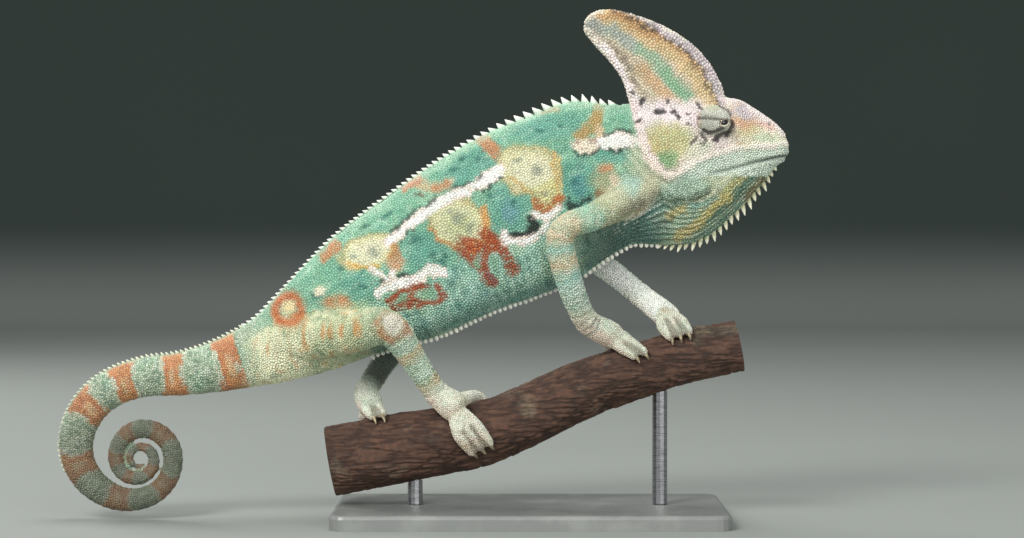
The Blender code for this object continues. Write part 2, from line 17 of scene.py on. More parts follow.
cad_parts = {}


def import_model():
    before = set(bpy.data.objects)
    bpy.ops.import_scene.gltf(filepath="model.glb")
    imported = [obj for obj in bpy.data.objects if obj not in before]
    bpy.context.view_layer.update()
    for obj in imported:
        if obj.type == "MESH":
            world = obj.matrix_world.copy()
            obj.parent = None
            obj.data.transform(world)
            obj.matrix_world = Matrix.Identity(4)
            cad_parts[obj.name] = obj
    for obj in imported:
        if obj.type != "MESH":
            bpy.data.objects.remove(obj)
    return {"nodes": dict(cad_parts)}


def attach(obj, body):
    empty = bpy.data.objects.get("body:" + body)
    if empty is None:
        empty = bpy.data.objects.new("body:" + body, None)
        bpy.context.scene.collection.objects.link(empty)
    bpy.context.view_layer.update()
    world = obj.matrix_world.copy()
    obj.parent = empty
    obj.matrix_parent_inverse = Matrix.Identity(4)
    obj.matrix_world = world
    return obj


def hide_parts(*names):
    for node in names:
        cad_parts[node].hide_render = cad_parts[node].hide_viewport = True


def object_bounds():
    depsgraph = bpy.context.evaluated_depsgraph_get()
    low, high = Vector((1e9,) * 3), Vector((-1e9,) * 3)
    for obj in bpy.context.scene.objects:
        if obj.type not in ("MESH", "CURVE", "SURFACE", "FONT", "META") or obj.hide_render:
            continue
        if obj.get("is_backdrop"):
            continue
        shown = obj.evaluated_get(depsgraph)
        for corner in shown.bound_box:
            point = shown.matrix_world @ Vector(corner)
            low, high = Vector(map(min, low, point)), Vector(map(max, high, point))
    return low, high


MM = 0.001
SEED = 7

# ---- the animal's shape, as in the part's source ----

# x, z, half height, half width, lean in degrees, bias
BODY = (
    (99.0, 145.8, 3.2, 3.6, 0, 0.30),
    (94.8, 142.8, 6.6, 5.6, 0, 0.34),
    (88.4, 138.6, 9.8, 7.4, 0, 0.38),
    (80.4, 133.8, 12.6, 9.2, 0, 0.40),
    (70.4, 129.3, 16.5, 11.4, 0, 0.36),
    (60.0, 129.2, 19.6, 12.6, 0, 0.26),
    (50.0, 133.8, 23.6, 12.8, 0, 0.12),
    (40.8, 138.0, 27.8, 13.0, 0, 0.02),
    (31.6, 136.1, 30.2, 13.8, 3, -0.04),
    (20.8, 134.0, 33.6, 14.8, 8, -0.08),
    (8.0, 128.4, 34.3, 16.0, 14, -0.10),
    (-9.2, 121.2, 33.8, 17.0, 19, -0.10),
    (-27.6, 112.4, 31.8, 17.2, 22, -0.10),
    (-47.2, 100.9, 29.6, 16.4, 25, -0.10),
    (-66.0, 91.5, 25.6, 15.0, 26, -0.08),
    (-80.0, 82.7, 21.8, 13.6, 26, -0.05),
    (-95.2, 73.3, 17.2, 12.0, 23, 0.0),
    (-107.2, 67.1, 13.5, 10.6, 18, 0.0),
    (-121.2, 62.3, 10.9, 9.4, 14, 0.0),
    (-132.0, 59.6, 9.4, 8.6, 11, 0.0),
    (-142.0, 58.0, 8.6, 7.9, 7, 0.0),
)

# Angle round the roll's centre in degrees, distance from it, half height
COIL_CENTRE = (-156.4, 24.6)
COIL = (
    (82, 33.1, 8.1),
    (100, 30.8, 7.7),
    (135, 28.4, 7.3),
    (170, 25.9, 6.9),
    (200, 22.6, 6.3),
    (227, 19.5, 5.6),
    (270, 16.4, 4.6),
    (330, 13.9, 4.2),
    (390, 13.0, 4.2),
    (450, 11.7, 4.0),
    (505, 10.0, 3.7),
    (572, 9.2, 3.3),
    (611, 8.4, 3.1),
    (677, 6.5, 2.7),
    (720, 5.5, 2.5),
    (810, 4.5, 1.9),
    (900, 3.9, 1.5),
    (960, 3.5, 1.2),
    (1027, 2.8, 0.7),
)
COIL_STEP = 15
COIL_FLATNESS = 0.92

# x, top, bottom, half width, bias, squareness
HEAD = (
    (103.0, 151.5, 145.5, 2.2, 0.0, 2.0),
    (101.4, 154.6, 143.4, 4.4, 0.0, 2.1),
    (98.4, 158.0, 142.0, 6.2, 0.0, 2.2),
    (94.0, 161.4, 140.6, 7.8, 0.0, 2.3),
    (88.8, 164.8, 139.0, 9.3, -0.04, 2.4),
    (84.0, 167.6, 137.4, 10.8, -0.06, 2.4),
    (79.0, 168.8, 135.6, 12.2, -0.06, 2.4),
    (72.8, 169.4, 132.0, 13.4, -0.06, 2.3),
    (66.4, 169.2, 128.4, 14.4, -0.08, 2.2),
    (60.0, 168.2, 126.8, 14.6, -0.06, 2.1),
    (54.0, 167.0, 130.4, 13.6, 0.0, 2.0),
    (48.0, 166.0, 139.0, 11.4, 0.0, 2.0),
    (44.0, 165.4, 146.6, 8.8, 0.0, 2.0),
    (41.0, 164.4, 154.0, 5.6, 0.0, 2.0),
)

# z, rear x, front x, half thickness
CASQUE = (
    (160.0, 42.6, 78.0, 9.0),
    (165.0, 40.6, 78.8, 8.0),
    (169.0, 39.4, 78.2, 7.0),
    (176.0, 37.0, 76.0, 5.4),
    (184.0, 31.8, 71.4, 4.4),
    (190.0, 26.0, 65.8, 3.8),
    (195.4, 21.8, 58.2, 3.4),
    (199.4, 21.4, 49.8, 3.0),
    (202.2, 23.4, 41.6, 2.4),
    (204.0, 27.6, 34.4, 1.5),
)

EYE = np.array((72.8, 11.6, 159.2))  # centre of the left turret
TURRET_RADII = np.array((6.9, 6.2, 6.6))
EYEBALL = np.array((75.9, 15.6, 158.4))  # centre of the left eyeball
EYEBALL_RADIUS = 2.4
EYE_DETAIL = (40, 48)
PUPIL, IRIS_RING = 1.33, 1.42  # distances from the line of sight
GAZE = np.array((0.36, 0.93, -0.02))  # way the left eye looks
LID_SHAPE = (1.85, 1.22,
             22.0)  # half width, half height and tilt in degrees of the opening between the lids
LID_STEPS, LID_SIDES = 48, 12
LID_RADIUS = EYEBALL_RADIUS + 0.2  # of the ball that the lids' rims lie on
LID_GAP = 0.25  # skin over the eyeball

# x, y, z, radius
ARM_RIGHT = (
    (46, -5, 131, 7.4),
    (36, -12.5, 126.5, 6.6),
    (24, -19, 121, 5.7),
    (15, -23, 117.8, 5.5),
    (11.4, -23.6, 112.5, 5.9),
    (13.2, -21.8, 103, 5.8),
    (17.0, -17.4, 91, 5.4),
    (21.6, -12.6, 80.5, 5.1),
)
ARM_LEFT = (
    (46, 5, 131, 7.4),
    (38, 12, 126.4, 6.6),
    (28.6, 18.4, 120.4, 5.7),
    (20.6, 22.8, 115.8, 5.4),
    (19.4, 23.4, 109.2, 5.5),
    (26.6, 20.0, 103.8, 5.4),
    (36.0, 15.0, 96.8, 5.1),
    (45.0, 10.2, 89.4, 4.9),
)
LEG_RIGHT = (
    (-98, -4, 74, 10.0),
    (-84, -10.5, 74.6, 9.8),
    (-70, -17, 76.2, 8.7),
    (-59, -21, 78.4, 7.8),
    (-53.2, -21.8, 75.8, 7.1),
    (-48.6, -18.4, 69.0, 5.9),
    (-42.6, -13.6, 59.4, 5.2),
    (-37.4, -9.6, 51.4, 5.2),
)
LEG_LEFT = (
    (-98, 4, 74, 10.0),
    (-84, 11.5, 76, 9.4),
    (-71, 18.6, 79.2, 8.2),
    (-61.5, 23.4, 81.0, 7.2),
    (-54.8, 25.0, 76.8, 6.7),
    (-55.8, 22.2, 68.4, 6.0),
    (-61.6, 16.8, 58.8, 5.2),
    (-66.6, 11.8, 50.4, 5.0),
)

# Name, limb, palm's centre and radius, bundles of toes: count, then x and angle round the perch
# of the toes' middles and ends, the step from toe to toe, and the claws' sweep
FEET = (
    ("hand_right", ARM_RIGHT, (31.5, -7.0, 74.6), 5.6,
     ((2, (39.0, 36), (45.0, 60), (-3.6, 1), (2.2, 15)),
      (3, (38.5, -30), (43.0, -64), (-3.3, -1), (1.2, -17)))),
    ("hand_left", ARM_LEFT, (54.4, 3.6, 82.0), 5.4,
     ((3, (60.2, 9), (62.8, 40), (-3.5, 1), (1.0, 15)),
      (2, (59.0, -34), (63.0, -64), (-3.5, 1), (1.8, -16)))),
    ("foot_right", LEG_RIGHT, (-30.4, -12.0, 46.2), 6.4,
     ((3, (-21.4, 76), (-16.2, 106), (-3.3, 3), (2.0, 17)),
      (2, (-22.0, -34), (-16.0, -66), (-3.6, 2), (1.6, -16)))),
    ("foot_left", LEG_LEFT, (-64.4, 5.4, 46.4), 5.5,
     ((2, (-61.4, -1), (-59.2, 22), (-3.6, 0), (1.6, 15)),
      (3, (-60.0, -42), (-56.0, -70), (-3.4, -1), (1.2, -16)))),
)
TOE_RADIUS = 2.7
CLAW_RADIUS = 0.85

# x, height of the axis, sideways bend, radius
PERCH = (
    (-80, 23.4, 1.2, 14.0),
    (-62, 26.6, 0.0, 14.2),
    (-40, 30.6, -0.6, 13.8),
    (-20, 34.8, 0.0, 13.0),
    (0, 42.0, 0.8, 12.3),
    (20, 51.0, 0.6, 11.8),
    (34, 57.0, 0.0, 11.4),
    (50, 62.0, -0.4, 11.0),
    (66, 66.0, 0.0, 10.7),
    (84, 69.5, 0.8, 10.4),
)


# ---- curves through table rows ----

def spline(rows, t):
    """The row at t on a Catmull-Rom curve through the rows; t is 0 at the first, 1 at the next."""
    i = min(max(int(math.floor(t)), 0), len(rows) - 2)
    f = t - i
    a, b, c, d = (np.array(rows[min(max(j, 0), len(rows) - 1)], float) for j in range(i - 1, i + 3))
    return b + 0.5 * f * (c - a + f * (2 * a - 5 * b + 4 * c - d + f * (3 * (b - c) + d - a)))


def row_at(rows, column, value):
    """The t at which a column that runs one way along the table has this value."""
    low, high = 0.0, len(rows) - 1.0
    rising = rows[-1][column] > rows[0][column]
    for _ in range(40):
        middle = (low + high) / 2
        if (spline(rows, middle)[column] < value) == rising:
            low = middle
        else:
            high = middle
    return low


def coil_rows():
    """The rolled tail as rows of the body table."""
    found = []
    for angle in range(COIL[0][0], COIL[-1][0] + 1, COIL_STEP):
        t = row_at(COIL, 0, angle)
        _, radius, half = spline(COIL, t)
        ahead, behind = spline(COIL, t + 0.05), spline(COIL, t - 0.05)
        inward = (behind[1] - ahead[1]) / math.radians(ahead[0] - behind[0])
        lean = angle - 90 + math.degrees(math.atan2(inward, radius))
        x = COIL_CENTRE[0] + radius * math.cos(math.radians(angle))
        z = COIL_CENTRE[1] + radius * math.sin(math.radians(angle))
        found.append((x, z, half, half * COIL_FLATNESS, lean, 0.0))
    return tuple(found)


SPINE_LINE = BODY + coil_rows()


def coil_t(angle):
    """Where on SPINE_LINE the roll reaches this angle."""
    return len(BODY) + (angle - COIL[0][0]) / COIL_STEP


def body_t(x):
    """Where on SPINE_LINE the body has this x, ahead of the roll."""
    return row_at(BODY, 0, x)


def steps(first, last, count):
    return [first + (last - first) * k / (count - 1) for k in range(count)]


def turns(count):
    return np.arange(count) * 2 * math.pi / count


def circle(count):
    """Points of a unit circle."""
    return np.stack([np.cos(turns(count)), np.sin(turns(count))], 1)


# ---- sections and lofts ----

def egg(count, half_height, half_width, bias, squareness=2.0):
    """An egg-shaped section as arrays of up and side, from its top round by its right side."""
    c, s = np.cos(turns(count)), np.sin(turns(count))
    up = np.sign(c) * np.abs(c) ** (2 / squareness)
    side = np.sign(s) * np.abs(s) ** (2 / squareness)
    return half_height * up, half_width * side * (1 + bias * up)


def body_ring(t, count, coat=0.0):
    """A section of the body at t, drawn in by the coat's depth."""
    x, z, half_height, half_width, lean, bias = spline(SPINE_LINE, t)
    up = np.array((-math.sin(math.radians(lean)), 0, math.cos(math.radians(lean))))
    depth = min(coat, 0.14 * half_height)
    u, s = egg(count, half_height - depth, half_width - depth, bias)
    return np.array((x, 0, z)) + u[:, None] * up + s[:, None] * np.array((0, -1, 0))


def head_ring(t, count, coat=0.0):
    x, top, bottom, half_width, bias, squareness = spline(HEAD, t)
    u, s = egg(count, (top - bottom) / 2 - coat, half_width - coat, bias, squareness)
    return np.stack([np.full(count, x), -s, (top + bottom) / 2 + u], 1)


def casque_ring(t, count, coat=0.0):
    z, rear, front, half = spline(CASQUE, t)
    u, s = egg(count, (front - rear) / 2 - coat, half - coat, -0.1, 1.9)
    return np.stack([(rear + front) / 2 + u, -s, np.full(count, z)], 1)


def unit(v):
    return v / np.linalg.norm(v, axis=-1, keepdims=True)


def tube_rings(rows, first, last, count, sides, coat=0.0):
    """Round sections along a path of x, y, z, radius rows."""
    rings = []
    over = np.array((0.31, 0.12, 0.94))
    for t in steps(first, last, count):
        along = unit(spline(rows, t + 0.02)[:3] - spline(rows, t - 0.02)[:3])
        over = unit(over - along * over.dot(along))
        across = np.cross(along, over)
        *centre, radius = spline(rows, t)
        a = turns(sides)[:, None]
        rings.append(np.array(centre) + (radius - coat) * (np.cos(a) * over + np.sin(a) * across))
    return rings


def flat_grid(rings):
    """Points and quads of an open loft through rings of the same count."""
    n, m = rings.shape[:2]
    k = np.arange(m)
    after = (k + 1) % m
    start = (np.arange(n - 1) * m)[:, None]
    quads = np.stack([start + k, start + after, start + m + after, start + m + k], -1)
    return rings.reshape(-1, 3), quads.reshape(-1, 4)


def shell(rings):
    """Points, quads and triangles of a closed loft through rings of the same count."""
    rings = np.array(rings)
    n, m = rings.shape[:2]
    points, quads = flat_grid(rings)
    points = np.concatenate([points, rings[:1].mean(1), rings[-1:].mean(1)])
    k = np.arange(m)
    after = (k + 1) % m
    first_cap = np.stack([np.full(m, n * m), after, k], 1)
    last_cap = np.stack([np.full(m, n * m + 1), (n - 1) * m + k, (n - 1) * m + after], 1)
    return points, quads, np.concatenate([first_cap, last_cap])


# ---- perch ----

def perch_at(x):
    """Height, sideways bend and radius of the perch at x."""
    return spline(PERCH, row_at(PERCH, 0, x))[1:]


def on_perch(x, angle, lift):
    """A point lift above the perch's surface at x, at an angle from its top to its right."""
    height, bend, radius = perch_at(x)
    slope = (perch_at(x + 1)[0] - perch_at(x - 1)[0]) / 2
    reach = radius + lift
    turn = math.radians(angle)
    up = reach * math.cos(turn) * math.hypot(1, slope)
    return np.array((x, bend - reach * math.sin(turn), height + up))


def toe_rows(palm, middle, end, step, index):
    """The path of one toe from the palm over the perch, as limb rows."""
    def place(spot, lift):
        return on_perch(spot[0] + step[0] * index, spot[1] + step[1] * index, lift)

    start = palm + (place(middle, 4.4) - palm) * 0.1
    return (
        (*start, TOE_RADIUS * 1.15),
        (*place(middle, 3.7), TOE_RADIUS * 1.1),
        (*place(end, 2.3), TOE_RADIUS * 0.86),
    )


def claw_rows(end, step, sweep, index):
    """The path of a claw from inside its toe's end down to the bark."""
    x, angle = end[0] + step[0] * index, end[1] + step[1] * index
    root = on_perch(x, angle, 2.3)
    tip = on_perch(x + sweep[0], angle + sweep[1], 0.75)
    lift = on_perch(x, angle, 3.0) - on_perch(x, angle, 2.3)
    middle = root + (tip - root) * 0.55 + lift * 0.8
    return ((*root, CLAW_RADIUS), (*middle, CLAW_RADIUS * 0.75), (*tip, 0.16))


# ---- flesh as one distance field ----

VOXEL = 0.88
REACH = 5  # voxels of the field kept each side of a surface
FIELD_LOW = np.array((-202.0, -40.0, 0.0))
FIELD_HIGH = np.array((112.0, 40.0, 212.0))
COAT = 0.42  # depth of the scales over the skin
(BODY_PART, HEAD_PART, CASQUE_PART, TURRET_PART, ARM_R, ARM_L, LEG_R, LEG_L) = range(8)
LIMB_PARTS = (ARM_R, ARM_L, LEG_R, LEG_L)
LIMBS = dict(zip(LIMB_PARTS, (ARM_RIGHT, ARM_LEFT, LEG_RIGHT, LEG_LEFT)))
# Sections along each loft of flesh and points round it
BODY_DETAIL, HEAD_DETAIL, CASQUE_DETAIL, LIMB_DETAIL = (300, 56), (60, 48), (50, 48), (60, 32)
BALL_DETAIL = 24


class Flesh:
    """A grid of distances to the surface, with the part that each place belongs to."""

    def __init__(self):
        self.low = np.floor(FIELD_LOW / VOXEL).astype(int)
        shape = np.ceil(FIELD_HIGH / VOXEL).astype(int) - self.low
        self.far = REACH * VOXEL
        self.field = np.full(shape, self.far, np.float32)
        self.part = np.zeros(shape, np.int8)

    def add(self, mesh, part, blend):
        """Joins a closed mesh on, rounding the crease where it meets the rest over about blend."""
        points, quads, triangles = mesh
        grid = openvdb.FloatGrid.createLevelSetFromPolygons(
            points.astype(np.float32),
            triangles=triangles.astype(np.uint32),
            quads=quads.astype(np.uint32),
            transform=openvdb.createLinearTransform(voxelSize=VOXEL),
            halfWidth=REACH,
        )
        first, last = grid.evalActiveVoxelBoundingBox()
        first = np.maximum(np.array(first), self.low)
        last = np.minimum(np.array(last), self.low + self.field.shape - 1)
        new = np.full(last - first + 1, self.far, np.float32)
        grid.copyToArray(new, ijk=tuple(int(v) for v in first))
        box = tuple(slice(a, b + 1) for a, b in zip(first - self.low, last - self.low))
        old = self.field[box]
        closer = new < old
        mix = np.clip(0.5 + 0.5 * (old - new) / blend, 0, 1)
        self.field[box] = old * (1 - mix) + new * mix - blend * mix * (1 - mix)
        self.part[box][closer] = part

    def surface(self):
        """Points and quads where the distance is zero."""
        grid = openvdb.FloatGrid(float(self.far))
        grid.copyFromArray(self.field, ijk=tuple(int(v) for v in self.low))
        grid.transform = openvdb.createLinearTransform(voxelSize=VOXEL)
        points, quads = grid.convertToQuads(0.0)
        return np.array(points, float), np.array(quads, int)

    def part_at(self, points):
        place = np.rint(points / VOXEL).astype(int) - self.low
        place = np.clip(place, 0, np.array(self.part.shape) - 1)
        return self.part[tuple(place.T)]


def ellipsoid(centre, radii):
    """A closed ball of rings, as points, quads and triangles."""
    flat = turns(BALL_DETAIL)
    rings = []
    for polar in np.linspace(0.06, math.pi - 0.06, BALL_DETAIL):
        level = np.full(BALL_DETAIL, np.cos(polar))
        way = np.stack([np.sin(polar) * np.cos(flat), np.sin(polar) * np.sin(flat), level], 1)
        rings.append(centre + way * radii)
    return shell(rings)


def loft(ring, rows, detail):
    """A closed loft of the flesh's sections from the first row to the last."""
    along, around = detail
    return shell([ring(t, around, COAT) for t in steps(0, len(rows) - 1, along)])


def mirrored(vector, side):
    """The vector on the animal's left for side 1, on its right for -1."""
    return vector * np.array((1, side, 1))


def grow_flesh():
    """The whole animal's flesh, drawn in by the depth of its scales."""
    flesh = Flesh()
    flesh.add(loft(body_ring, SPINE_LINE, BODY_DETAIL), BODY_PART, 0.1)
    flesh.add(loft(head_ring, HEAD, HEAD_DETAIL), HEAD_PART, 1.6)
    flesh.add(loft(casque_ring, CASQUE, CASQUE_DETAIL), CASQUE_PART, 1.8)
    for side in (-1, 1):
        flesh.add(ellipsoid(mirrored(EYE, side), TURRET_RADII - COAT), TURRET_PART, 0.7)
        lid = np.full(3, EYEBALL_RADIUS + LID_GAP)
        flesh.add(ellipsoid(mirrored(EYEBALL, side), lid), TURRET_PART, 2.0)
    for part, limb in LIMBS.items():
        flesh.add(shell(tube_rings(limb, 0, len(limb) - 1, *LIMB_DETAIL, COAT)), part, 2.6)
    for (name, limb, palm, palm_radius, bundles), part in zip(FEET, LIMB_PARTS):
        grow_foot(flesh, part, limb, np.array(palm), palm_radius, bundles, name.startswith("foot"))
    return flesh


def grow_foot(flesh, part, limb, palm, palm_radius, bundles, has_spur):
    wrist = np.array(limb[-1][:3])
    beyond = palm + (palm - wrist) * 0.35
    rows = (limb[-2], limb[-1], (*palm, palm_radius), (*beyond, palm_radius * 0.8))
    flesh.add(shell(tube_rings(rows, 1, 3, 24, 28, COAT)), part, 1.6)
    for count, middle, end, step, _ in bundles:
        for index in range(count):
            toe = toe_rows(palm, middle, end, step, index)
            rings = tube_rings(toe, 0, 2, 22, 18, COAT)
            tip = rings[-1].mean(0)
            ahead = unit(tip - rings[-2].mean(0))
            rings += [tip + (ring - tip) * shrink + ahead * TOE_RADIUS * reach
                      for ring, shrink, reach in ((rings[-1], 0.86, 0.3), (rings[-1], 0.5, 0.52))]
            flesh.add(shell(rings), part, 0.9)
    if has_spur:
        away = unit(wrist - palm)
        root = wrist + away * 1.5 + np.array((0, 0, -3.2))
        heel = unit(away + np.array((0, 0, -0.55)))
        spur = ((*(root - heel * 2), 1.5), (*(root + heel * 0.6), 1.1), (*(root + heel * 2.0), 0.7))
        flesh.add(shell(tube_rings(spur, 0, 2, 10, 14, 0.2)), part, 1.0)


# ---- surface tools ----

SMOOTHING_PASSES = 8
SMOOTH_OUT, SMOOTH_BACK = 0.5, -0.46
CHUNK = 20000  # places measured at a time


def smoothed(points, quads):
    """The points after passes of smoothing that barely shrink the shape."""
    ends = np.concatenate([quads[:, [0, 1]], quads[:, [1, 2]], quads[:, [2, 3]], quads[:, [3, 0]]])
    first = np.concatenate([ends[:, 0], ends[:, 1]])
    second = np.concatenate([ends[:, 1], ends[:, 0]])
    count = np.bincount(first, minlength=len(points))[:, None]
    for k in range(SMOOTHING_PASSES):
        near = [np.bincount(first, points[second, axis], minlength=len(points))
                for axis in range(3)]
        pull = np.stack(near, 1) / count - points
        points = points + pull * (SMOOTH_OUT if k % 2 == 0 else SMOOTH_BACK)
    return points


def normals_of(points, quads):
    across = points[quads[:, 2]] - points[quads[:, 0]]
    over = points[quads[:, 3]] - points[quads[:, 1]]
    face = np.cross(across, over)
    total = np.zeros_like(points)
    for corner in range(4):
        for axis in range(3):
            total[:, axis] += np.bincount(quads[:, corner], face[:, axis], minlength=len(points))
    return unit(total + 1e-12)


def lattice_value(cells, seed):
    """A repeatable random number from 0 to 1 for each whole-number cell."""
    mixed = (cells * np.array((73856093, 19349663, 83492791))).sum(1) + seed * 2654435761
    mixed = (mixed ^ (mixed >> 13)) * 1274126177 & 0xFFFFFFFF
    return ((mixed ^ (mixed >> 16)) & 0xFFFF) / 65535.0


def noise(points, size, seed=0):
    """Smooth noise from -1 to 1 with lumps about size across."""
    scaled = points / size + 1000.0
    cell = np.floor(scaled).astype(np.int64)
    f = scaled - cell
    f = f * f * (3 - 2 * f)
    total = np.zeros(len(points))
    for corner in np.ndindex(2, 2, 2):
        c = np.array(corner)
        weight = np.prod(np.where(c == 1, f, 1 - f), axis=1)
        total += weight * lattice_value(cell + c, seed)
    return total * 2 - 1


def fractal(points, size, seed=0, octaves=3):
    return sum(noise(points, size / 2 ** k, seed + k) / 2 ** k for k in range(octaves)) / 1.6


def smoothstep(low, high, value):
    t = np.clip((value - low) / (high - low), 0, 1)
    return t * t * (3 - 2 * t)


class Line:
    """A centreline sampled from table rows, along which places on the surface are measured."""

    def __init__(self, rows, count, centre_of):
        self.t = np.array(steps(0, len(rows) - 1, count))
        self.rows = np.array([spline(rows, t) for t in self.t])
        self.centres = np.array([centre_of(row) for row in self.rows])
        self.radii = self.rows[:, 3]
        gaps = np.linalg.norm(np.diff(self.centres, axis=0), axis=1)
        self.length = np.concatenate([[0], np.cumsum(gaps)])

    def nearest(self, points):
        """Index of the nearest sample, by distance over its radius."""
        found = np.empty(len(points), int)
        for start in range(0, len(points), CHUNK):
            part = points[start:start + CHUNK]
            gap = np.linalg.norm(part[:, None] - self.centres[None], axis=2)
            found[start:start + CHUNK] = np.argmin(gap - self.radii[None] * 0.35, axis=1)
        return found


def centrelines():
    """The lines of the body and of each limb, by part."""
    lines = {BODY_PART: Line(SPINE_LINE, 420, lambda row: (row[0], 0, row[1]))}
    for part, limb in LIMBS.items():
        lines[part] = Line(limb, 90, lambda row: row[:3])
    return lines


class Places:
    """Points of the surface with what the folds, colours and scales need to know of them."""

    def __init__(self, points, normals, flesh, lines):
        self.points, self.normals = points, normals
        self.part = flesh.part_at(points - normals * 0.5)
        self.x, self.y, self.z = points.T
        self.side = np.where(self.y < 0, -1, 1)
        spine = lines[BODY_PART]
        near = spine.nearest(points)
        self.body_t = spine.t[near]
        self.body_length = spine.length[near]
        rows = spine.rows[near]
        lean = np.radians(rows[:, 4])
        offset = points - spine.centres[near]
        self.height = (offset[:, 2] * np.cos(lean) - offset[:, 0] * np.sin(lean)) / rows[:, 2]
        self.limb_t = np.full(len(points), -1.0)
        self.limb_length = np.zeros(len(points))
        for part in LIMB_PARTS:
            mine = self.part == part
            line = lines[part]
            near = line.nearest(points[mine])
            self.limb_t[mine] = line.t[near]
            beyond = np.linalg.norm(points[mine] - line.centres[-1], axis=1)
            past = (near == len(line.t) - 1) * np.maximum(beyond - line.radii[-1], 0)
            self.limb_length[mine] = line.length[near] + past

    def only(self, keep):
        """The chosen places alone."""
        found = copy.copy(self)
        for name, values in vars(self).items():
            setattr(found, name, values[keep])
        return found


class Surface:
    """Points and quads with their normals and a tree that finds the nearest place."""

    def __init__(self, points, quads):
        self.points, self.quads = points, quads
        self.normals = normals_of(points, quads)
        self.tree = BVHTree.FromPolygons(points.tolist(), quads.tolist())

    def normals_at(self, places):
        """Normals at places on the surface, blended from the corners of the face there."""
        face = np.array([self.tree.find_nearest(place)[2] for place in places])
        gap = np.linalg.norm(self.points[self.quads[face]] - places[:, None], axis=2)[..., None]
        weight = 1 / (gap + 0.05) ** 2
        return unit((self.normals[self.quads[face]] * weight).sum(1))


# ---- folds of the skin ----

MOUTH = ((102.4, 145.6), (94.0, 144.0), (88.0, 142.6), (82.0, 140.8), (76.8, 139.4), (69.6, 138.0))
CHEEK_RIDGE = ((102.6, 150.2), (91.6, 149.4), (78.4, 148.2), (68.4, 144.4), (61.0, 139.8),
               (55.2, 137.2), (51.0, 138.6), (47.4, 143.6), (44.4, 149.6))
# Heights of the head's rear edge, and how far ahead it lies at each
HEAD_REAR = ((137.4, 140.3, 145.0, 149.6, 154.9, 161.6, 168.2),
             (53.1, 49.8, 46.5, 43.8, 42.2, 40.5, 39.9))
BROW_RIDGE = ((101.5, 154.5), (94.0, 161.2), (86.0, 166.2), (79.5, 169.6), (77.4, 174.5))
REAR_RIDGE = ((54.6, 136.4), (47.0, 146.0), (42.4, 158.0), (38.4, 172.0), (31.0, 186.0),
              (23.0, 196.0))
NOSTRIL = (95.2, 158.0)
THROAT_FOLDS = 8.5  # from the throat's edge up to the jaw
NECK_CREASE = 3.4  # from crease to crease
PLEAT = 2.6  # from one upright row of the flank's scales to the next
WRINKLE = 2.6  # from one wrinkle of a limb to the next
THROAT_EDGE = ((102.0, 143.6), (92.0, 134.0), (84.0, 125.0), (74.0, 115.6), (66.0, 109.6),
               (52.0, 108.6), (40.0, 109.6), (28.0, 103.0))
JAW_EDGE = ((102.0, 145.0), (88.0, 141.0), (80.0, 136.0), (74.6, 129.0), (68.0, 126.0),
            (60.0, 126.6), (53.0, 131.0), (47.0, 127.0), (36.0, 120.0), (26.0, 114.0))
SLIT = ((65.6, 160.0), (68.8, 160.2), (73.8, 159.7), (76.2, 159.4))
# Creases round the eye, each a path in x and z with its half width; the skin sinks along them and
# they are painted dark as painted shade
CREASES = (
    (((68.4, 155.5), (70.3, 154.3), (73.2, 154.8), (75.8, 156.1)), 0.60),
    (((73.9, 152.9), (76.4, 154.1), (79.0, 154.8)), 0.60),
    (((79.6, 159.4), (80.4, 158.0), (79.4, 155.7), (78.0, 153.3)), 0.65),
    (((67.6, 154.2), (68.6, 152.6), (69.8, 151.4)), 0.42),
    (((75.1, 165.2), (78.3, 163.8), (79.6, 161.8)), 0.42),
    (((66.2, 166.6), (68.1, 164.0)), 0.42),
    (((63.7, 150.3), (65.9, 152.3)), 0.50),
)


def gap_to(x, z, path):
    """Distance from a broken line in the animal's side plane."""
    return along_path(x, z, path)[0]


def along_path(x, z, path):
    """Distance from a broken line in the animal's side plane, and how far along it from 0 to 1."""
    best, where = np.full(len(x), 1e9), np.zeros(len(x))
    parts = len(path) - 1
    for k, (a, b) in enumerate(zip(path, path[1:])):
        way = np.subtract(b, a)
        t = np.clip(((x - a[0]) * way[0] + (z - a[1]) * way[1]) / way.dot(way), 0, 1)
        gap = np.hypot(x - a[0] - t * way[0], z - a[1] - t * way[1])
        nearer = gap < best
        best = np.where(nearer, gap, best)
        where = np.where(nearer, (k + t) / parts, where)
    return best, where


def throat_lines(x, z):
    """How far up from the throat's edge to the jaw a place is, and how far back."""
    edge, along = along_path(x, z, THROAT_EDGE)
    jaw = gap_to(x, z, JAW_EDGE)
    share = edge / (edge + jaw + 1e-6)
    back_to_front = np.array(JAW_EDGE[::-1])
    above = z > np.interp(x, back_to_front[:, 0], back_to_front[:, 1])
    return np.where(above, 1 + jaw / 8, share), along


def casque_edges(z):
    """The x of the casque's rear and front edges at heights z."""
    rows = np.array([spline(CASQUE, row_at(CASQUE, 0, v)) for v in np.linspace(162, 203.5, 43)])
    return np.interp(z, rows[:, 0], rows[:, 1]), np.interp(z, rows[:, 0], rows[:, 2])


def ridge(gap, width):
    return np.exp(-(gap / width) ** 2)


def eye_gap(places):
    """Distance from the middle of the lids' opening, over its size, and how far out."""
    side = np.stack([np.ones(len(places.x)), places.side, np.ones(len(places.x))], 1)
    offset = places.points - EYEBALL * side
    gaze = GAZE * side
    out = (offset * gaze).sum(1)
    flat = offset - out[:, None] * gaze
    level = np.array((1.0, 0, 0)) - gaze * gaze[:, :1]
    level = unit(level)
    over = unit(np.array((0, 0, 1.0)) - gaze * gaze[:, 2:])
    width, height, tilt = LID_SHAPE
    a, b = (flat * level).sum(1), (flat * over).sum(1)
    c, s = math.cos(math.radians(tilt)), math.sin(math.radians(tilt))
    return np.hypot((a * c + b * s) / width, (b * c - a * s) / height), out


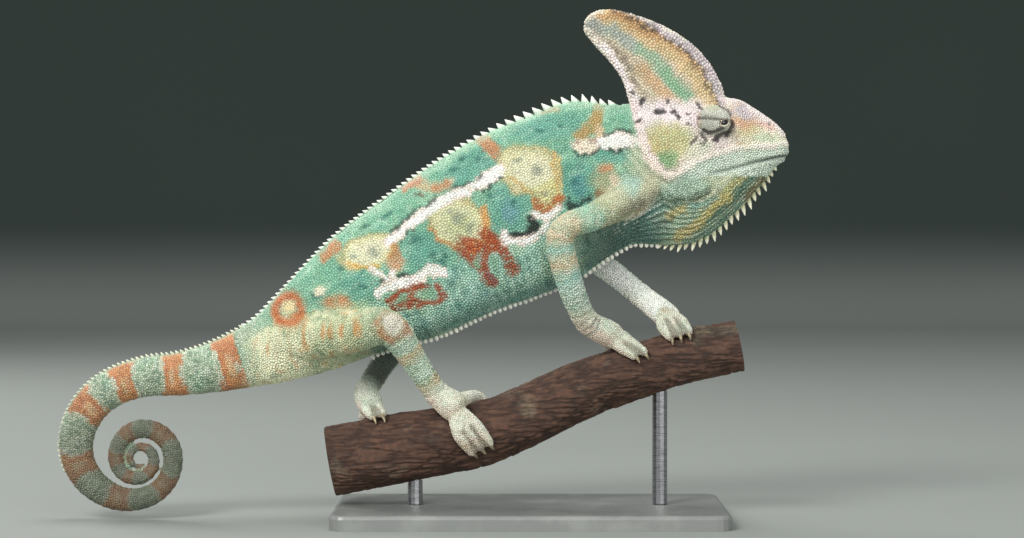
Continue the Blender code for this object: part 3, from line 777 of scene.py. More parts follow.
def head_folds(places):
    """Socket, lips, ridges, nostrils and casque borders of the head, as heights."""
    x, z = places.x, places.z
    head = np.isin(places.part, (HEAD_PART, CASQUE_PART, BODY_PART)) & (x > 20)
    sideways = smoothstep(0.15, 0.5, np.abs(places.normals[:, 1]))
    lift = np.zeros(len(x))
    socket = np.hypot((x - EYE[0]) / 7.9, (z - EYE[2]) / 7.5)
    lift -= 0.5 * ridge((socket - 1) * 8, 0.8) * sideways
    lift += 0.35 * ridge((socket - 1.3) * 8, 1.3) * sideways
    gap, t = along_path(x, z, MOUTH)
    lip = smoothstep(1.0, 0.85, t) * (x > 68)
    seam = 0.7 * ridge(gap, 0.5) * smoothstep(72, 92, x)
    lift += (-seam - 0.4 * ridge(gap, 1.1) + 0.3 * ridge(gap - 1.6, 0.9)) * lip
    gap = gap_to(x, z, CHEEK_RIDGE)
    lift += 0.6 * ridge(gap, 1.3) * sideways
    gap = gap_to(x, z, BROW_RIDGE)
    lift += 0.55 * ridge(gap, 1.4)
    gap = gap_to(x, z, REAR_RIDGE)
    lift += 0.6 * ridge(gap, 1.6)
    casque = places.part == CASQUE_PART
    rear, front = casque_edges(z)
    hollow = smoothstep(1.5, 5, x - rear) * smoothstep(4, 8, front - x) * smoothstep(164, 170, z)
    lift -= 0.5 * hollow * casque * sideways
    nostril = np.hypot(x - NOSTRIL[0], z - NOSTRIL[1])
    lift += (0.3 * ridge(nostril - 1.1, 0.6) - 0.6 * ridge(nostril, 0.6)) * sideways
    bulge = np.hypot((x - 61.6) / 9.0, (z - 132.6) / 4.6)
    lift += (0.9 * smoothstep(1.1, 0.4, bulge) - 0.5 * ridge((bulge - 1.15) * 6, 0.7)) * (z < 136)
    for path, half_width in CREASES:
        gap = gap_to(x, z, path)
        lift -= 0.55 * ridge(gap, half_width * 1.4) * sideways
    return lift * head


def lid_folds(places):
    """Lids swelling above and below a slit, creases, and the opening that lets the eyeball show."""
    gap, out = eye_gap(places)
    turret = places.part == TURRET_PART
    opening = -2.2 * smoothstep(1.35, 0.95, gap) * (out > 0)
    slit = gap_to(places.x, places.z, SLIT)
    seam = -0.6 * ridge(slit, 0.5) + 0.35 * ridge(slit - 1.8, 1.3)
    lift = opening + seam
    for path, half_width in CREASES:
        gap = gap_to(places.x, places.z, path)
        lift = lift - 0.5 * ridge(gap, half_width * 1.4)
    return lift * turret


def throat_waves(places, share):
    """1 in the middle of each fold of the throat and 0 between them, by the share of its height."""
    return np.abs(np.sin((share * THROAT_FOLDS + 0.3 * noise(places.points, 9, 3)) * math.pi))


def body_folds(places):
    """Folds that run back from the chin, neck creases and the upright pleats of the flank."""
    x, height = places.x, places.height
    body = places.part == BODY_PART
    wander = noise(places.points, 9, 3)
    share, _ = throat_lines(x, places.z)
    throat = smoothstep(26, 40, x) * smoothstep(101, 94, x) * smoothstep(1.0, 0.85, share)
    throat = throat * smoothstep(0.5, 0.15, height)
    folds = -0.6 * throat_waves(places, share) ** 3 + 0.2
    nape = smoothstep(26, 36, x) * smoothstep(62, 54, x) * smoothstep(-0.3, 0.1, height)
    phase = (x * 0.8 + 0.7 * places.z + 1.2 * wander) * math.pi / NECK_CREASE
    creases = 0.1 - 0.45 * np.abs(np.sin(phase)) ** 4
    flank = smoothstep(40, 24, x) * smoothstep(-112, -96, x)
    pleats = 0.13 * np.sin((places.body_length + 1.2 * wander) * 2 * math.pi / PLEAT)
    hollows = 0.5 * noise(places.points, 16, 5)
    tail = smoothstep(-104, -116, x)
    rings = 0.10 * np.sin(places.body_length * 2 * math.pi / 2.9)
    return (throat * folds + nape * creases + flank * (pleats + hollows) + tail * rings) * body


def toe_creases(places):
    """1 in the creases between neighbouring toes and 0 away from them."""
    crease = np.zeros(len(places.x))
    for _, _, palm, palm_radius, bundles in FEET:
        clear = smoothstep(palm_radius, palm_radius + 3,
                           np.linalg.norm(places.points - palm, axis=1))
        for count, middle, end, step, _ in bundles:
            for index in range(count - 1):
                between = toe_rows(np.array(palm), middle, end, step, index + 0.5)
                line = [np.array(row[:3]) for row in between]
                for first, last in zip(line, line[1:]):
                    along = last - first
                    share = np.clip((places.points - first) @ along / (along @ along), 0, 1)
                    gap = np.linalg.norm(places.points - first - share[:, None] * along, axis=1)
                    crease = np.maximum(crease, clear * smoothstep(2.75, 2.25, gap))
    return crease * (places.limb_t > 6.3)


def limb_folds(places):
    """Creases round elbow, knee, wrist and ankle."""
    limb = np.isin(places.part, LIMB_PARTS)
    wrist = ridge(places.limb_t - 6.5, 0.6) * (places.limb_t < 6.99)
    joint = ridge(places.limb_t - 3.8, 0.8)
    wave = np.abs(np.sin(places.limb_length * math.pi / WRINKLE)) ** 4
    foot = smoothstep(7.0, 6.8, places.limb_t)
    wrinkles = (0.10 + 0.3 * joint + 0.25 * wrist) * wave * (places.limb_t > 0.5) * foot
    return -1.0 * limb * (wrinkles + 0.35 * toe_creases(places))


def folds(places):
    return head_folds(places) + lid_folds(places) + body_folds(places) + limb_folds(places)


# ---- colours and markings ----

def tone(red, green, blue):
    """A colour given as 0 to 255 on screen, as the linear numbers that shaders take."""
    shown = np.array((red, green, blue)) / 255
    return np.where(shown <= 0.04045, shown / 12.92, ((shown + 0.055) / 1.055) ** 2.4)


MINT = (134, 186, 156)
TEAL = (106, 168, 152)
DEEP_TEAL = (48, 112, 100)
PALE_MINT = (186, 216, 190)
INK = (20, 26, 24)
WHITE = (252, 248, 244)
PINK = (240, 220, 208)
CREAM = (226, 223, 192)
YELLOW = (214, 208, 150)
GOLD = (212, 178, 112)
ORANGE = (200, 134, 86)
RUST = (166, 72, 30)
OCHRE = (188, 152, 92)
TAN = (206, 186, 150)
GREY = (140, 150, 132)
# Pale inner side of the limbs: partly their own colour, partly painted light.
PALE_SIDE = (250, 253, 248)


class Paint:
    """Colours of a set of places, painted over in turn."""

    def __init__(self, places, base):
        self.places = places
        self.colour = np.tile(tone(*base), (len(places.x), 1))
        points = places.points
        cell = np.rint(points * 60).astype(np.int64)
        self.chance, self.other_chance = lattice_value(cell, 21), lattice_value(cell, 22)
        self.x = self.strayed(places.x, 11, self.chance)
        self.z = self.strayed(places.z, 13, self.other_chance)
        self.fine = noise(points, 1.5, 15)
        self.mottle = fractal(points, 6, 16)
        self.cloud = fractal(points, 18, 17)
        self.rows = np.sin(places.body_length * 2 * math.pi / PLEAT + 1.6 * self.mottle)

    def strayed(self, along, seed, chance):
        """A coordinate moved about a little, which gives every marking a natural edge."""
        points = self.places.points
        strayed = along + 1.0 * noise(points, 5, seed) + 0.8 * noise(points, 2, seed + 1)
        return strayed + 0.7 * (chance - 0.5)

    def lay(self, mask, colour):
        self.colour = self.colour + (tone(*colour) - self.colour) * np.clip(mask, 0, 1)[:, None]

    def reach(self, centre, radii, turn=0.0):
        """Distance from a spot's centre, 1 on its edge."""
        c, s = math.cos(math.radians(turn)), math.sin(math.radians(turn))
        dx, dz = self.x - centre[0], self.z - centre[1]
        return np.hypot((dx * c + dz * s) / radii[0], (dz * c - dx * s) / radii[1])

    def spot(self, colour, centre, radii, turn=0.0, soft=0.25, strength=1.0, where=1.0):
        gap = self.reach(centre, radii, turn)
        self.lay(smoothstep(1 + soft, 1 - soft, gap) * strength * where, colour)

    def hoop(self, colour, centre, radii, turn=0.0, width=0.16, strength=1.0, where=1.0):
        gap = self.reach(centre, radii, turn)
        self.lay(ridge(gap - 1, width) * strength * where, colour)

    def stroke(self, colour, path, half_width, soft=0.7, strength=1.0, where=1.0):
        gap = gap_to(self.x, self.z, path)
        self.lay(smoothstep(half_width + soft, half_width - soft, gap) * strength * where, colour)

    def spots(self, colour, shapes, soft, strength, where):
        """Spots of one colour, each with its centre, radii and turn."""
        for shape in shapes:
            self.spot(colour, *shape, soft=soft, strength=strength, where=where)

    def strokes(self, rows, soft, strength, where):
        """Strokes, each with its path, half width and colour."""
        for path, half_width, colour in rows:
            self.stroke(colour, path, half_width, soft, strength, where)


# Pale stripes of the flank, each a path in x and z with its half width
STRIPES = (
    (((29.6, 150.9), (36.0, 151.2), (43.6, 151.2)), 3.0),
    (((42.6, 152.0), (44.6, 158.0)), 1.6),
    (((-11.8, 140.4), (-15.7, 137.4), (-21.1, 134.0), (-24.9, 131.1)), 2.1),
    (((-24.9, 131.1), (-29.8, 129.9), (-34.6, 127.2), (-39.5, 123.8), (-43.8, 120.9),
      (-48.7, 117.8), (-53.0, 113.2), (-55.6, 111.4)), 1.85),
    (((-62.4, 100.3), (-59.0, 98.4), (-56.0, 95.4)), 1.0),
    (((-60.1, 90.9), (-56.8, 93.6), (-53.6, 95.4)), 1.7),
    (((-53.6, 99.6), (-54.6, 96.4)), 0.9),
    (((-55.0, 94.4), (-49.5, 95.5), (-44.4, 97.0), (-41.0, 99.3), (-37.1, 100.2), (-34.4, 99.4)),
     1.9),
    (((-9.6, 114.6), (-9.0, 111.6), (-2.6, 111.6), (2.7, 114.6), (7.1, 118.3)), 1.4),
    (((1.2, 122.8), (4.0, 121.0), (8.0, 121.8), (12.0, 125.2)), 1.3),
)

# Dark edges beside the pale stripes: path and half width
STRIPE_EDGES = (
    (((17.0, 147.8), (18.4, 145.9), (22.6, 145.5), (27.2, 147.9), (30.5, 147.9), (33.2, 146.7),
      (37.2, 147.7), (43.2, 148.2)), 0.6),
    (((29.6, 153.9), (32.5, 154.9), (35.5, 155.3), (41.0, 155.2)), 0.55),
    (((-18.1, 137.9), (-23.0, 134.9), (-26.0, 133.6), (-30.0, 132.5)), 0.55),
    (((-36.0, 128.6), (-38.5, 126.9), (-46.3, 123.1), (-52.1, 117.5), (-55.2, 115.2)), 0.55),
    (((-11.8, 136.9), (-15.2, 134.7), (-18.3, 131.3)), 0.55),
    (((-46.6, 116.2), (-49.6, 113.4), (-50.6, 110.6)), 0.4),
)

# Cream ovals of the flank: centre, radii, turn
OVALS = (
    ((-0.4, 139.6), (11.6, 8.8), -8),
    ((-28.3, 118.7), (11.2, 8.8), -18),
    ((-64.6, 107.2), (10.6, 6.0), 18),
)


def paint_flank(paint):
    flank = smoothstep(46, 38, paint.x) * smoothstep(-106, -96, paint.x)
    paint.lay(smoothstep(-0.1, 0.7, paint.mottle) * 0.35, TEAL)
    paint.lay(smoothstep(0.1, 0.8, paint.cloud) * 0.5, PALE_MINT)
    paint.lay(smoothstep(0.2, 0.8, paint.fine + 0.5 * paint.rows) * 0.4, PALE_MINT)
    paint.lay(smoothstep(0.3, 0.9, -paint.fine - 0.5 * paint.rows) * 0.3, TEAL)
    along = 0.87 * paint.places.x + 0.5 * paint.places.z
    across = 0.87 * paint.places.z - 0.5 * paint.places.x
    streaks = fractal(np.stack([along, 3.2 * across, 2.0 * paint.places.y], 1), 6.0, 61)
    paint_low_flank(paint, flank)
    for centre, radii, turn, colour in (
        ((6.0, 156.6), (15, 5.0), 8, TEAL),
        ((-24.0, 140.4), (13.0, 5.6), 32, TEAL),
        ((-8.6, 124.4), (8.8, 10.8), 0, TEAL),
        ((18.4, 134.6), (7.4, 10.0), 0, TEAL),
        ((34.0, 145.6), (9.0, 3.0), 4, TEAL),
        ((-40.0, 108.0), (11.0, 7.4), 0, TEAL),
        ((-66.4, 93.4), (7.0, 5.0), 0, TEAL),
        ((-7.6, 124.0), (3.6, 5.0), 10, (116, 164, 172)),
        ((19.4, 134.0), (3.0, 4.6), 0, (82, 146, 152)),
    ):
        paint.spot(colour, centre, radii, turn, 0.35, 0.75, flank)
    paint.lay(flank * smoothstep(0.15, 0.5, streaks) * 0.45, (84, 152, 134))
    paint.lay(flank * smoothstep(0.15, 0.5, -streaks) * 0.4, (178, 214, 190))
    paint.spots(DEEP_TEAL, (
        ((4.1, 155.2), (2.6, 0.8), 4), ((12.0, 157.3), (1.5, 0.8), 0),
        ((15.6, 160.2), (1.7, 0.6), 30), ((-20.1, 143.5), (2.8, 0.8), 20),
        ((-26.9, 144.3), (1.5, 0.7), 0), ((-29.8, 140.2), (1.7, 0.9), 10),
        ((-15.2, 130.0), (1.5, 1.1), 0), ((-6.5, 127.0), (1.0, 1.9), 0),
        ((-33.2, 105.4), (1.5, 1.5), 0), ((-37.7, 106.0), (1.2, 0.9), 0),
        ((-35.0, 103.2), (2.6, 0.8), -30), ((-45.0, 112.0), (2.4, 1.2), 20),
        ((-66.0, 93.8), (2.0, 1.2), 0), ((18.6, 134.8), (1.7, 1.6), 0),
        ((-84.0, 90.0), (1.8, 1.6), 0), ((-57.0, 122.0), (2.6, 0.8), 30),
        ((-66.0, 118.0), (2.2, 0.7), 30), ((-74.0, 101.0), (2.4, 0.8), 30),
    ), 0.5, 0.8, flank)
    paint_orange(paint, flank)
    paint_ovals(paint, flank)
    paint_rust(paint, flank)
    paint_stripes(paint, flank)


def paint_low_flank(paint, flank):
    """The lower flank: teal grains with paler ones, in short rows that fan out over the belly."""
    low = smoothstep(-0.12, -0.45, paint.places.height + 0.12 * paint.mottle) * flank
    paint.lay(low * 0.9, (166, 206, 188))
    paint.lay(low * smoothstep(0.0, 0.5, paint.cloud + 0.3 * paint.mottle) * 0.6, (192, 204, 158))
    paint.lay(low * smoothstep(0.0, 0.5, -paint.cloud - 0.3 * paint.mottle) * 0.6, (144, 204, 206))
    along = 0.95 * paint.places.x + 0.31 * paint.places.z
    across = 0.95 * paint.places.z - 0.31 * paint.places.x
    fan = noise(np.stack([along, 0.22 * across, 0.3 * paint.places.y], 1), 1.15, 62)
    paint.lay(low * smoothstep(0.1, 0.6, fan + 0.5 * (paint.chance - 0.5)) * 0.62, (88, 132, 124))
    paint.lay(low * smoothstep(0.1, 0.6, -fan + 0.5 * (paint.other_chance - 0.5)) * 0.55,
              (206, 230, 216))
    edge = smoothstep(-0.66, -0.90, paint.places.height) * smoothstep(-84, -70, paint.x) * flank
    paint.lay(edge * 0.5, (70, 104, 100))


def paint_orange(paint, flank):
    """Mottled orange, tan and ochre patches of the back and shoulder."""
    mixed = (0.65 + 0.35 * smoothstep(-0.8, 0.1, paint.fine + 0.4 * paint.mottle)) * flank
    paint.strokes((
        (((-21.0, 153.0), (-17.2, 150.8), (-14.0, 146.6)), 2.7, ORANGE),
        (((-49.2, 134.2), (-45.3, 135.4), (-40.0, 133.3), (-35.6, 133.3), (-31.9, 134.5)), 2.4,
         TAN),
        (((-50.0, 133.8), (-45.6, 135.6)), 2.4, (210, 128, 92)),
        (((-37.6, 132.4), (-33.0, 134.4)), 1.6, ORANGE),
        (((27.0, 164.6), (26.8, 160.0), (24.0, 157.0), (20.4, 154.0)), 2.5, OCHRE),
        (((27.4, 157.0), (27.0, 152.0)), 1.8, (222, 196, 160)),
        (((-82.6, 105.2), (-77.6, 110.0)), 2.4, ORANGE),
        (((2.0, 163.4), (10.0, 164.6)), 1.3, (200, 164, 128)),
    ), 1.1, 0.9, mixed)
    for centre, radii, turn, colour in (
        ((-76.0, 86.6), (5.8, 3.6), 0, ORANGE),
        ((-54.0, 107.6), (2.6, 4.6), 0, ORANGE),
        ((-53.4, 102.6), (3.0, 3.0), 0, (222, 170, 130)),
        ((30.0, 135.4), (5.6, 6.6), 0, (178, 176, 138)),
        ((33.6, 134.0), (2.8, 4.4), 0, (226, 210, 184)),
        ((29.8, 140.2), (3.6, 1.3), 10, (206, 150, 110)),
        ((26.9, 130.0), (2.2, 2.4), 0, (142, 108, 72)),
        ((-43.4, 129.6), (2.2, 0.6), 0, (120, 104, 72)),
    ):
        paint.spot(colour, centre, radii, turn, 0.45, 0.9, mixed)


def paint_rust(paint, flank):
    """Broken rust patches with green eyes left in them."""
    rusty = (0.45 + 0.55 * smoothstep(0.1, 0.35, paint.chance + 0.3 * paint.mottle)) * flank
    paint.strokes((
        (((-25.4, 110.6), (-20.6, 108.4), (-15.4, 111.8)), 3.4, RUST),
        (((-18.4, 115.4), (-15.0, 110.6), (-10.6, 110.0)), 2.6, RUST),
        (((-25.6, 106.6), (-22.2, 103.0), (-18.4, 99.6), (-15.0, 95.8)), 2.2, RUST),
        (((-12.6, 110.2), (-9.0, 105.6), (-6.6, 99.8)), 2.0, RUST),
        (((-15.8, 107.6), (-17.4, 101.6)), 1.5, RUST),
        (((-17.0, 98.8), (-14.6, 96.0)), 1.3, (150, 96, 92)),
        (((-55.0, 88.2), (-51.0, 91.4), (-46.4, 93.0), (-42.0, 94.2)), 1.5, RUST),
        (((-53.6, 85.2), (-47.6, 86.8), (-43.6, 86.8), (-37.8, 87.4), (-34.6, 90.6), (-36.8, 93.6)),
         1.6, RUST),
        (((-47.4, 87.0), (-46.0, 91.0), (-43.6, 94.0)), 1.4, RUST),
        (((3.0, 126.2), (7.0, 123.8), (11.0, 127.6)), 2.2, (190, 108, 54)),
        (((5.0, 120.2), (11.4, 124.0)), 0.6, RUST),
    ), 1.0, 0.95, rusty)
    paint.spots((134, 176, 144), (
        ((-20.9, 102.4), (1.7, 1.6)), ((-40.7, 91.2), (2.4, 2.1)), ((-50.0, 88.2), (1.9, 1.7)),
        ((-13.4, 103.0), (1.7, 3.0)),
    ), 0.5, 0.85, flank)
    speck = flank * smoothstep(0.7, 0.85, paint.other_chance)
    paint.spot((208, 132, 66), (-19.4, 109.4), (7.6, 4.4), 8, 0.3, 0.6, speck)


def paint_ovals(paint, flank):
    """Cream ovals with yellow fields, gold rims broken by orange, and grey grains within."""
    for centre, radii, turn in OVALS:
        paint.hoop(GOLD, centre, radii, turn, 0.15, 0.7, flank)
        paint.spot(CREAM, centre, (radii[0] * 0.95, radii[1] * 0.95), turn, 0.14, where=flank)
        paint.hoop(YELLOW, centre, (radii[0] * 0.82, radii[1] * 0.82), turn, 0.16, 0.5, flank)
    paint.spot((222, 214, 156), (7.1, 130.0), (4.8, 5.6), 0, 0.25, 0.9, flank)
    paint.spot((196, 202, 150), (-28.3, 118.7), (7.6, 5.8), -18, 0.5, 0.75, flank)
    rims = (
        (((9.2, 146.6), (8.2, 141.0), (10.0, 136.0), (10.2, 130.4)), 0.8, GOLD),
        (((11.6, 145.0), (11.0, 139.0), (12.0, 133.0)), 0.6, (226, 196, 132)),
        (((-8.8, 137.0), (-5.1, 134.0), (0.3, 130.0), (1.7, 126.6)), 0.7, GOLD),
        (((-18.6, 124.6), (-17.4, 120.6), (-17.6, 115.6)), 1.5, (216, 160, 90)),
        (((-39.6, 116.4), (-35.6, 112.4), (-29.0, 109.6)), 0.8, (206, 150, 92)),
        (((-72.0, 102.6), (-66.0, 101.0), (-60.0, 101.6)), 0.9, (226, 178, 84)),
    )
    for path, half_width, colour in rims:
        paint.stroke(colour, path, half_width, 0.6, 0.85, flank)
    paint.spots(GREY, (
        ((2.7, 140.1), (1.6, 2.1)), ((-5.1, 144.2), (1.7, 0.9)), ((-28.3, 120.9), (2.0, 2.2)),
        ((-24.4, 117.2), (1.4, 2.0)), ((-31.6, 123.0), (1.0, 0.9)), ((-62.4, 107.6), (2.0, 1.3)),
        ((-69.6, 105.6), (1.4, 1.0)), ((6.1, 130.9), (1.3, 1.1)),
    ), 0.7, 0.75, flank)


def paint_stripes(paint, flank):
    """White stripes with pink borders and dark edges, and the black crescents between them."""
    paint.stroke(INK, ((0.3, 120.6), (1.4, 117.6), (-1.7, 114.8), (-6.5, 113.8)),
                 1.7, 0.6, 0.95, flank)
    paint.stroke(INK, ((14.8, 128.0), (16.3, 125.8), (18.9, 126.2), (23.2, 129.0)),
                 0.9, 0.5, 0.9, flank)
    paint.spot(INK, (-48.9, 98.5), (3.4, 0.9), 4, strength=0.85, where=flank)
    paint.spot(INK, (-59.2, 95.4), (0.9, 1.8), 0, strength=0.8, where=flank)
    paint.spot((240, 226, 206), (22.4, 149.4), (5.6, 3.1), -4, 0.2, 1.0, flank)
    for path, half_width in STRIPES:
        paint.stroke(PINK, path, half_width + 0.35, 0.4, 0.95, flank)
        paint.stroke(WHITE, path, half_width - 0.3, 0.5, 1.0, flank)
        blush = flank * smoothstep(0.1, 0.6, paint.mottle) * smoothstep(0.4, 0.6, paint.chance)
        paint.stroke(PINK, path, half_width - 0.2, 0.5, 0.6, blush)
    for path, half_width in STRIPE_EDGES:
        paint.stroke((34, 52, 42), path, half_width, 0.4, 0.85, flank)
    paint.spots((140, 104, 84), (
        ((19.3, 151.2), (1.2, 0.6)), ((23.9, 151.4), (1.1, 0.5)), ((26.2, 151.0), (0.9, 0.7)),
        ((21.0, 148.4), (0.7, 0.5)), ((-20.6, 131.6), (1.0, 0.7)),
    ), 0.5, 0.7, flank)


def paint_neck(paint):
    x, z = paint.x, paint.z
    neck = smoothstep(36, 42, x) * smoothstep(150, 147, z)
    paint.lay(neck * 0.92, (194, 202, 174))
    paint.lay(neck * smoothstep(0.1, 0.7, paint.mottle) * 0.45, (210, 204, 166))
    paint.lay(smoothstep(38, 41, x) * smoothstep(152, 156, z) * 0.7, (150, 180, 150))
    phase = (paint.places.x * 0.8 + 0.7 * paint.places.z) * math.pi / NECK_CREASE + 1.2
    line = np.abs(np.sin(phase)) ** 5
    paint.lay(neck * line * 0.45 * smoothstep(120, 126, z), (226, 226, 200))
    share, along = throat_lines(paint.places.x, paint.places.z)
    throat = smoothstep(22, 38, x) * smoothstep(1.12, 1.0, share)
    throat = throat * smoothstep(0.55, 0.3, paint.places.height)
    drawn = np.stack([share * THROAT_FOLDS, along * 5, paint.places.side * 3.0], 1)
    teal = noise(drawn, 1.1, 26)
    paint.lay(throat * 0.95, (166, 186, 160))
    paint.lay(throat * smoothstep(0.0, 0.4, teal) * 0.7, (126, 170, 150))
    paint.strokes((
        (((93.0, 137.0), (86.6, 129.6)), 1.4, (136, 116, 76)),
        (((82.0, 124.6), (74.0, 116.6), (66.0, 110.8), (52.0, 109.6)), 1.2, (94, 138, 122)),
        (((93.0, 141.4), (87.2, 136.4), (82.2, 130.0), (77.8, 125.6), (72.0, 120.0), (67.0, 115.0)),
         1.3, (84, 128, 110)),
        (((85.6, 137.6), (77.2, 132.2), (73.6, 128.6)), 1.6, (206, 198, 136)),
        (((79.0, 130.0), (74.0, 125.6), (70.4, 122.0), (66.0, 119.0)), 1.7, (216, 200, 122)),
        (((69.0, 118.6), (63.6, 116.0), (59.0, 113.6)), 1.8, (206, 188, 124)),
        (((61.0, 124.0), (55.6, 122.4)), 1.8, (210, 190, 124)),
        (((73.0, 130.4), (69.0, 128.2), (65.0, 125.6)), 1.9, (144, 194, 178)),
    ), 0.9, 0.85, throat)
    folds = throat_waves(paint.places, share)
    # Painted shade in the bottoms of the throat's folds and painted highlights on their crests.
    paint.lay(throat * folds ** 5 * 0.45, (64, 92, 78))
    paint.lay(throat * smoothstep(0.45, 0.1, folds) * 0.4, (228, 228, 200))
    chest = throat * smoothstep(60, 46, x)
    paint.lay(chest * 0.85, (60, 104, 100))
    paint.lay(chest * smoothstep(0.6, 0.8, paint.chance) * 0.5, (116, 158, 144))
    paint.lay(chest * smoothstep(0.4, 0.05, folds) * smoothstep(0.5, 0.8, share) * 0.85,
              (220, 226, 212))
    # Painted shadow under the arm, on the body below the shoulder.
    paint.spot((44, 78, 74), (28.0, 109.0), (9.0, 9.0), 0, 0.5, 0.6, paint.places.part == BODY_PART)


def paint_shoulder(paint):
    """Pale, wrinkled root of the arm with a taupe smudge below it, and the folds under the jaw."""
    fore = np.isin(paint.places.part, (ARM_R, ARM_L)) * (paint.places.limb_t < 2)
    nearby = np.maximum(fore, np.isin(paint.places.part, (BODY_PART, HEAD_PART)))
    where = nearby * smoothstep(24, 34, paint.x)
    grain = where * (0.55 + 0.45 * smoothstep(-0.3, 0.4, paint.fine))
    paint.spot((186, 214, 202), (40.2, 134.0), (4.4, 3.8), 0, 0.6, 0.8, where)
    paint.spot((212, 206, 176), (47.4, 133.6), (3.4, 5.0), 0, 0.6, 0.7, where)
    paint.spot((206, 206, 174), (33.4, 128.6), (6.0, 3.6), 20, 0.6, 0.7, where)
    for path, half_width, soft, strength, colour in (
        (((36.4, 123.2), (43.0, 125.8), (47.0, 127.6), (50.2, 131.0)), 1.5, 1.6, 0.8,
         (120, 110, 96)),
        (((37.0, 119.9), (41.5, 121.7), (45.6, 122.6), (49.0, 126.6)), 0.45, 0.4, 0.85,
         (232, 224, 210)),
        (((55.0, 130.0), (58.6, 128.4), (63.2, 128.8), (68.7, 131.5), (71.2, 134.0)), 0.5, 0.6, 0.8,
         (58, 76, 56)),
        (((57.6, 127.4), (62.3, 126.0), (66.3, 128.0), (69.4, 130.2)), 0.4, 0.5, 0.7, (62, 82, 60)),
        (((50.2, 117.8), (54.3, 120.1), (57.4, 121.8)), 0.4, 0.5, 0.8, (70, 74, 44)),
    ):
        paint.stroke(colour, path, half_width, soft, strength, grain)


# Rust bands of the tail, each with its half width: by x ahead of the roll, then by angle round it
BANDS_AHEAD = ((-120.0, 4.6), (-143.0, 4.3))
BANDS_ROUND = ((100, 4.2), (134, 5.0), (186, 5.4), (242, 4.6), (314, 4.4), (408, 4.2), (474, 2.9),
               (540, 2.6), (599, 2.4), (673, 2.6), (796, 2.2), (898, 1.6), (985, 1.2))


def paint_tail(paint, line):
    tail = smoothstep(-100, -114, paint.places.x)
    paint.lay(tail * 0.95, (166, 180, 154))
    paint.lay(tail * smoothstep(0.0, 0.5, paint.mottle) * 0.5, (156, 192, 164))
    paint.lay(tail * smoothstep(0.62, 0.74, paint.chance + 0.2 * paint.fine) * 0.7, (84, 118, 96))
    paint.lay(tail * smoothstep(0.6, 0.8, paint.other_chance) * 0.5, (224, 230, 214))
    at = [(np.interp(body_t(x), line.t, line.length), width) for x, width in BANDS_AHEAD]
    at += [(np.interp(coil_t(angle), line.t, line.length), width) for angle, width in BANDS_ROUND]
    along = paint.places.body_length + 1.1 * paint.mottle + 0.6 * (paint.chance - 0.5)
    waist = 1 - 0.22 * np.cos(paint.places.height * 2.2)
    for middle, width in at:
        gap = np.abs(along - middle) / (width * waist)
        paint.lay(tail * ridge(gap - 1.14, 0.16) * 0.6, (222, 218, 196))
        paint.lay(tail * smoothstep(1.08, 0.92, gap) * 0.92, (202, 136, 92))
        paint.lay(tail * smoothstep(1.0, 0.9, gap) * smoothstep(-0.2, 0.5, paint.mottle) * 0.6,
                  (172, 98, 66))
        heart = np.hypot(gap * 1.5, (paint.places.height + 0.1) * 1.4)
        paint.lay(tail * smoothstep(0.85, 0.35, heart) * 0.7, (214, 196, 160))
        grains = smoothstep(1.0, 0.8, gap) * smoothstep(0.6, 0.75, paint.other_chance)
        paint.lay(tail * grains * 0.5, (224, 166, 104))
    shaded = smoothstep(coil_t(90), coil_t(220), paint.places.body_t)
    paint.lay(tail * shaded * 0.76, (88, 86, 74))
    under = smoothstep(-0.75, -0.95, paint.places.height)
    paint.lay(tail * under * 0.4, (122, 124, 96))


def paint_rump(paint):
    """The pale root of the thigh, streaked upright in tan and green, with its orange ring and
    painted light on its lower part.
    """
    x, z = paint.x, paint.z
    side = np.isin(paint.places.part, (BODY_PART, LEG_R, LEG_L)) * (paint.places.limb_t < 3)
    low = smoothstep(84, 78, z - 0.3 * (x + 90))
    near = smoothstep(-60, -70, x) * smoothstep(-116, -104, x) * low * side
    paint.lay(near * 0.8, (200, 206, 168))
    # Painted light: the bottom of the rump is lifted towards white where the lamps leave it in
    # shade.
    paint.lay(near * smoothstep(80, 70, z) * smoothstep(-84, -90, x) * 0.8, (246, 246, 214))
    upright = paint.places.points * np.array((1.0, 1.0, 0.2))
    streak, other_streak = noise(upright, 1.5, 66), noise(upright, 1.9, 67)
    paint.lay(near * smoothstep(0.15, 0.7, streak) * 0.6, (128, 152, 120))
    paint.lay(near * smoothstep(0.05, 0.6, -streak) * 0.6, (236, 230, 196))
    tan = near * smoothstep(-0.2, 0.5, other_streak)
    paint.lay(tan * smoothstep(0.3, 0.7, other_streak) * 0.55, (206, 162, 108))
    paint.spots((204, 152, 92), (
        ((-91.0, 74.0), (3.6, 7.0)), ((-103.6, 72.4), (2.4, 5.6)), ((-70.6, 79.0), (5.0, 4.6)),
        ((-80.0, 76.0), (2.4, 4.6)),
    ), 0.6, 0.85, tan)
    paint.hoop((198, 116, 62), (-96.0, 84.4), (5.2, 5.0), width=0.42, strength=0.95, where=side)
    paint.hoop((170, 84, 38), (-95.6, 83.6), (5.2, 4.6), width=0.24, strength=0.6,
               where=side * smoothstep(-0.1, 0.4, paint.mottle))
    paint.spot((222, 206, 160), (-96.0, 84.9), (2.8, 2.5), soft=0.4, where=side)
    paint.spot((240, 232, 206), (-83.2, 92.0), (2.0, 2.0), where=side)


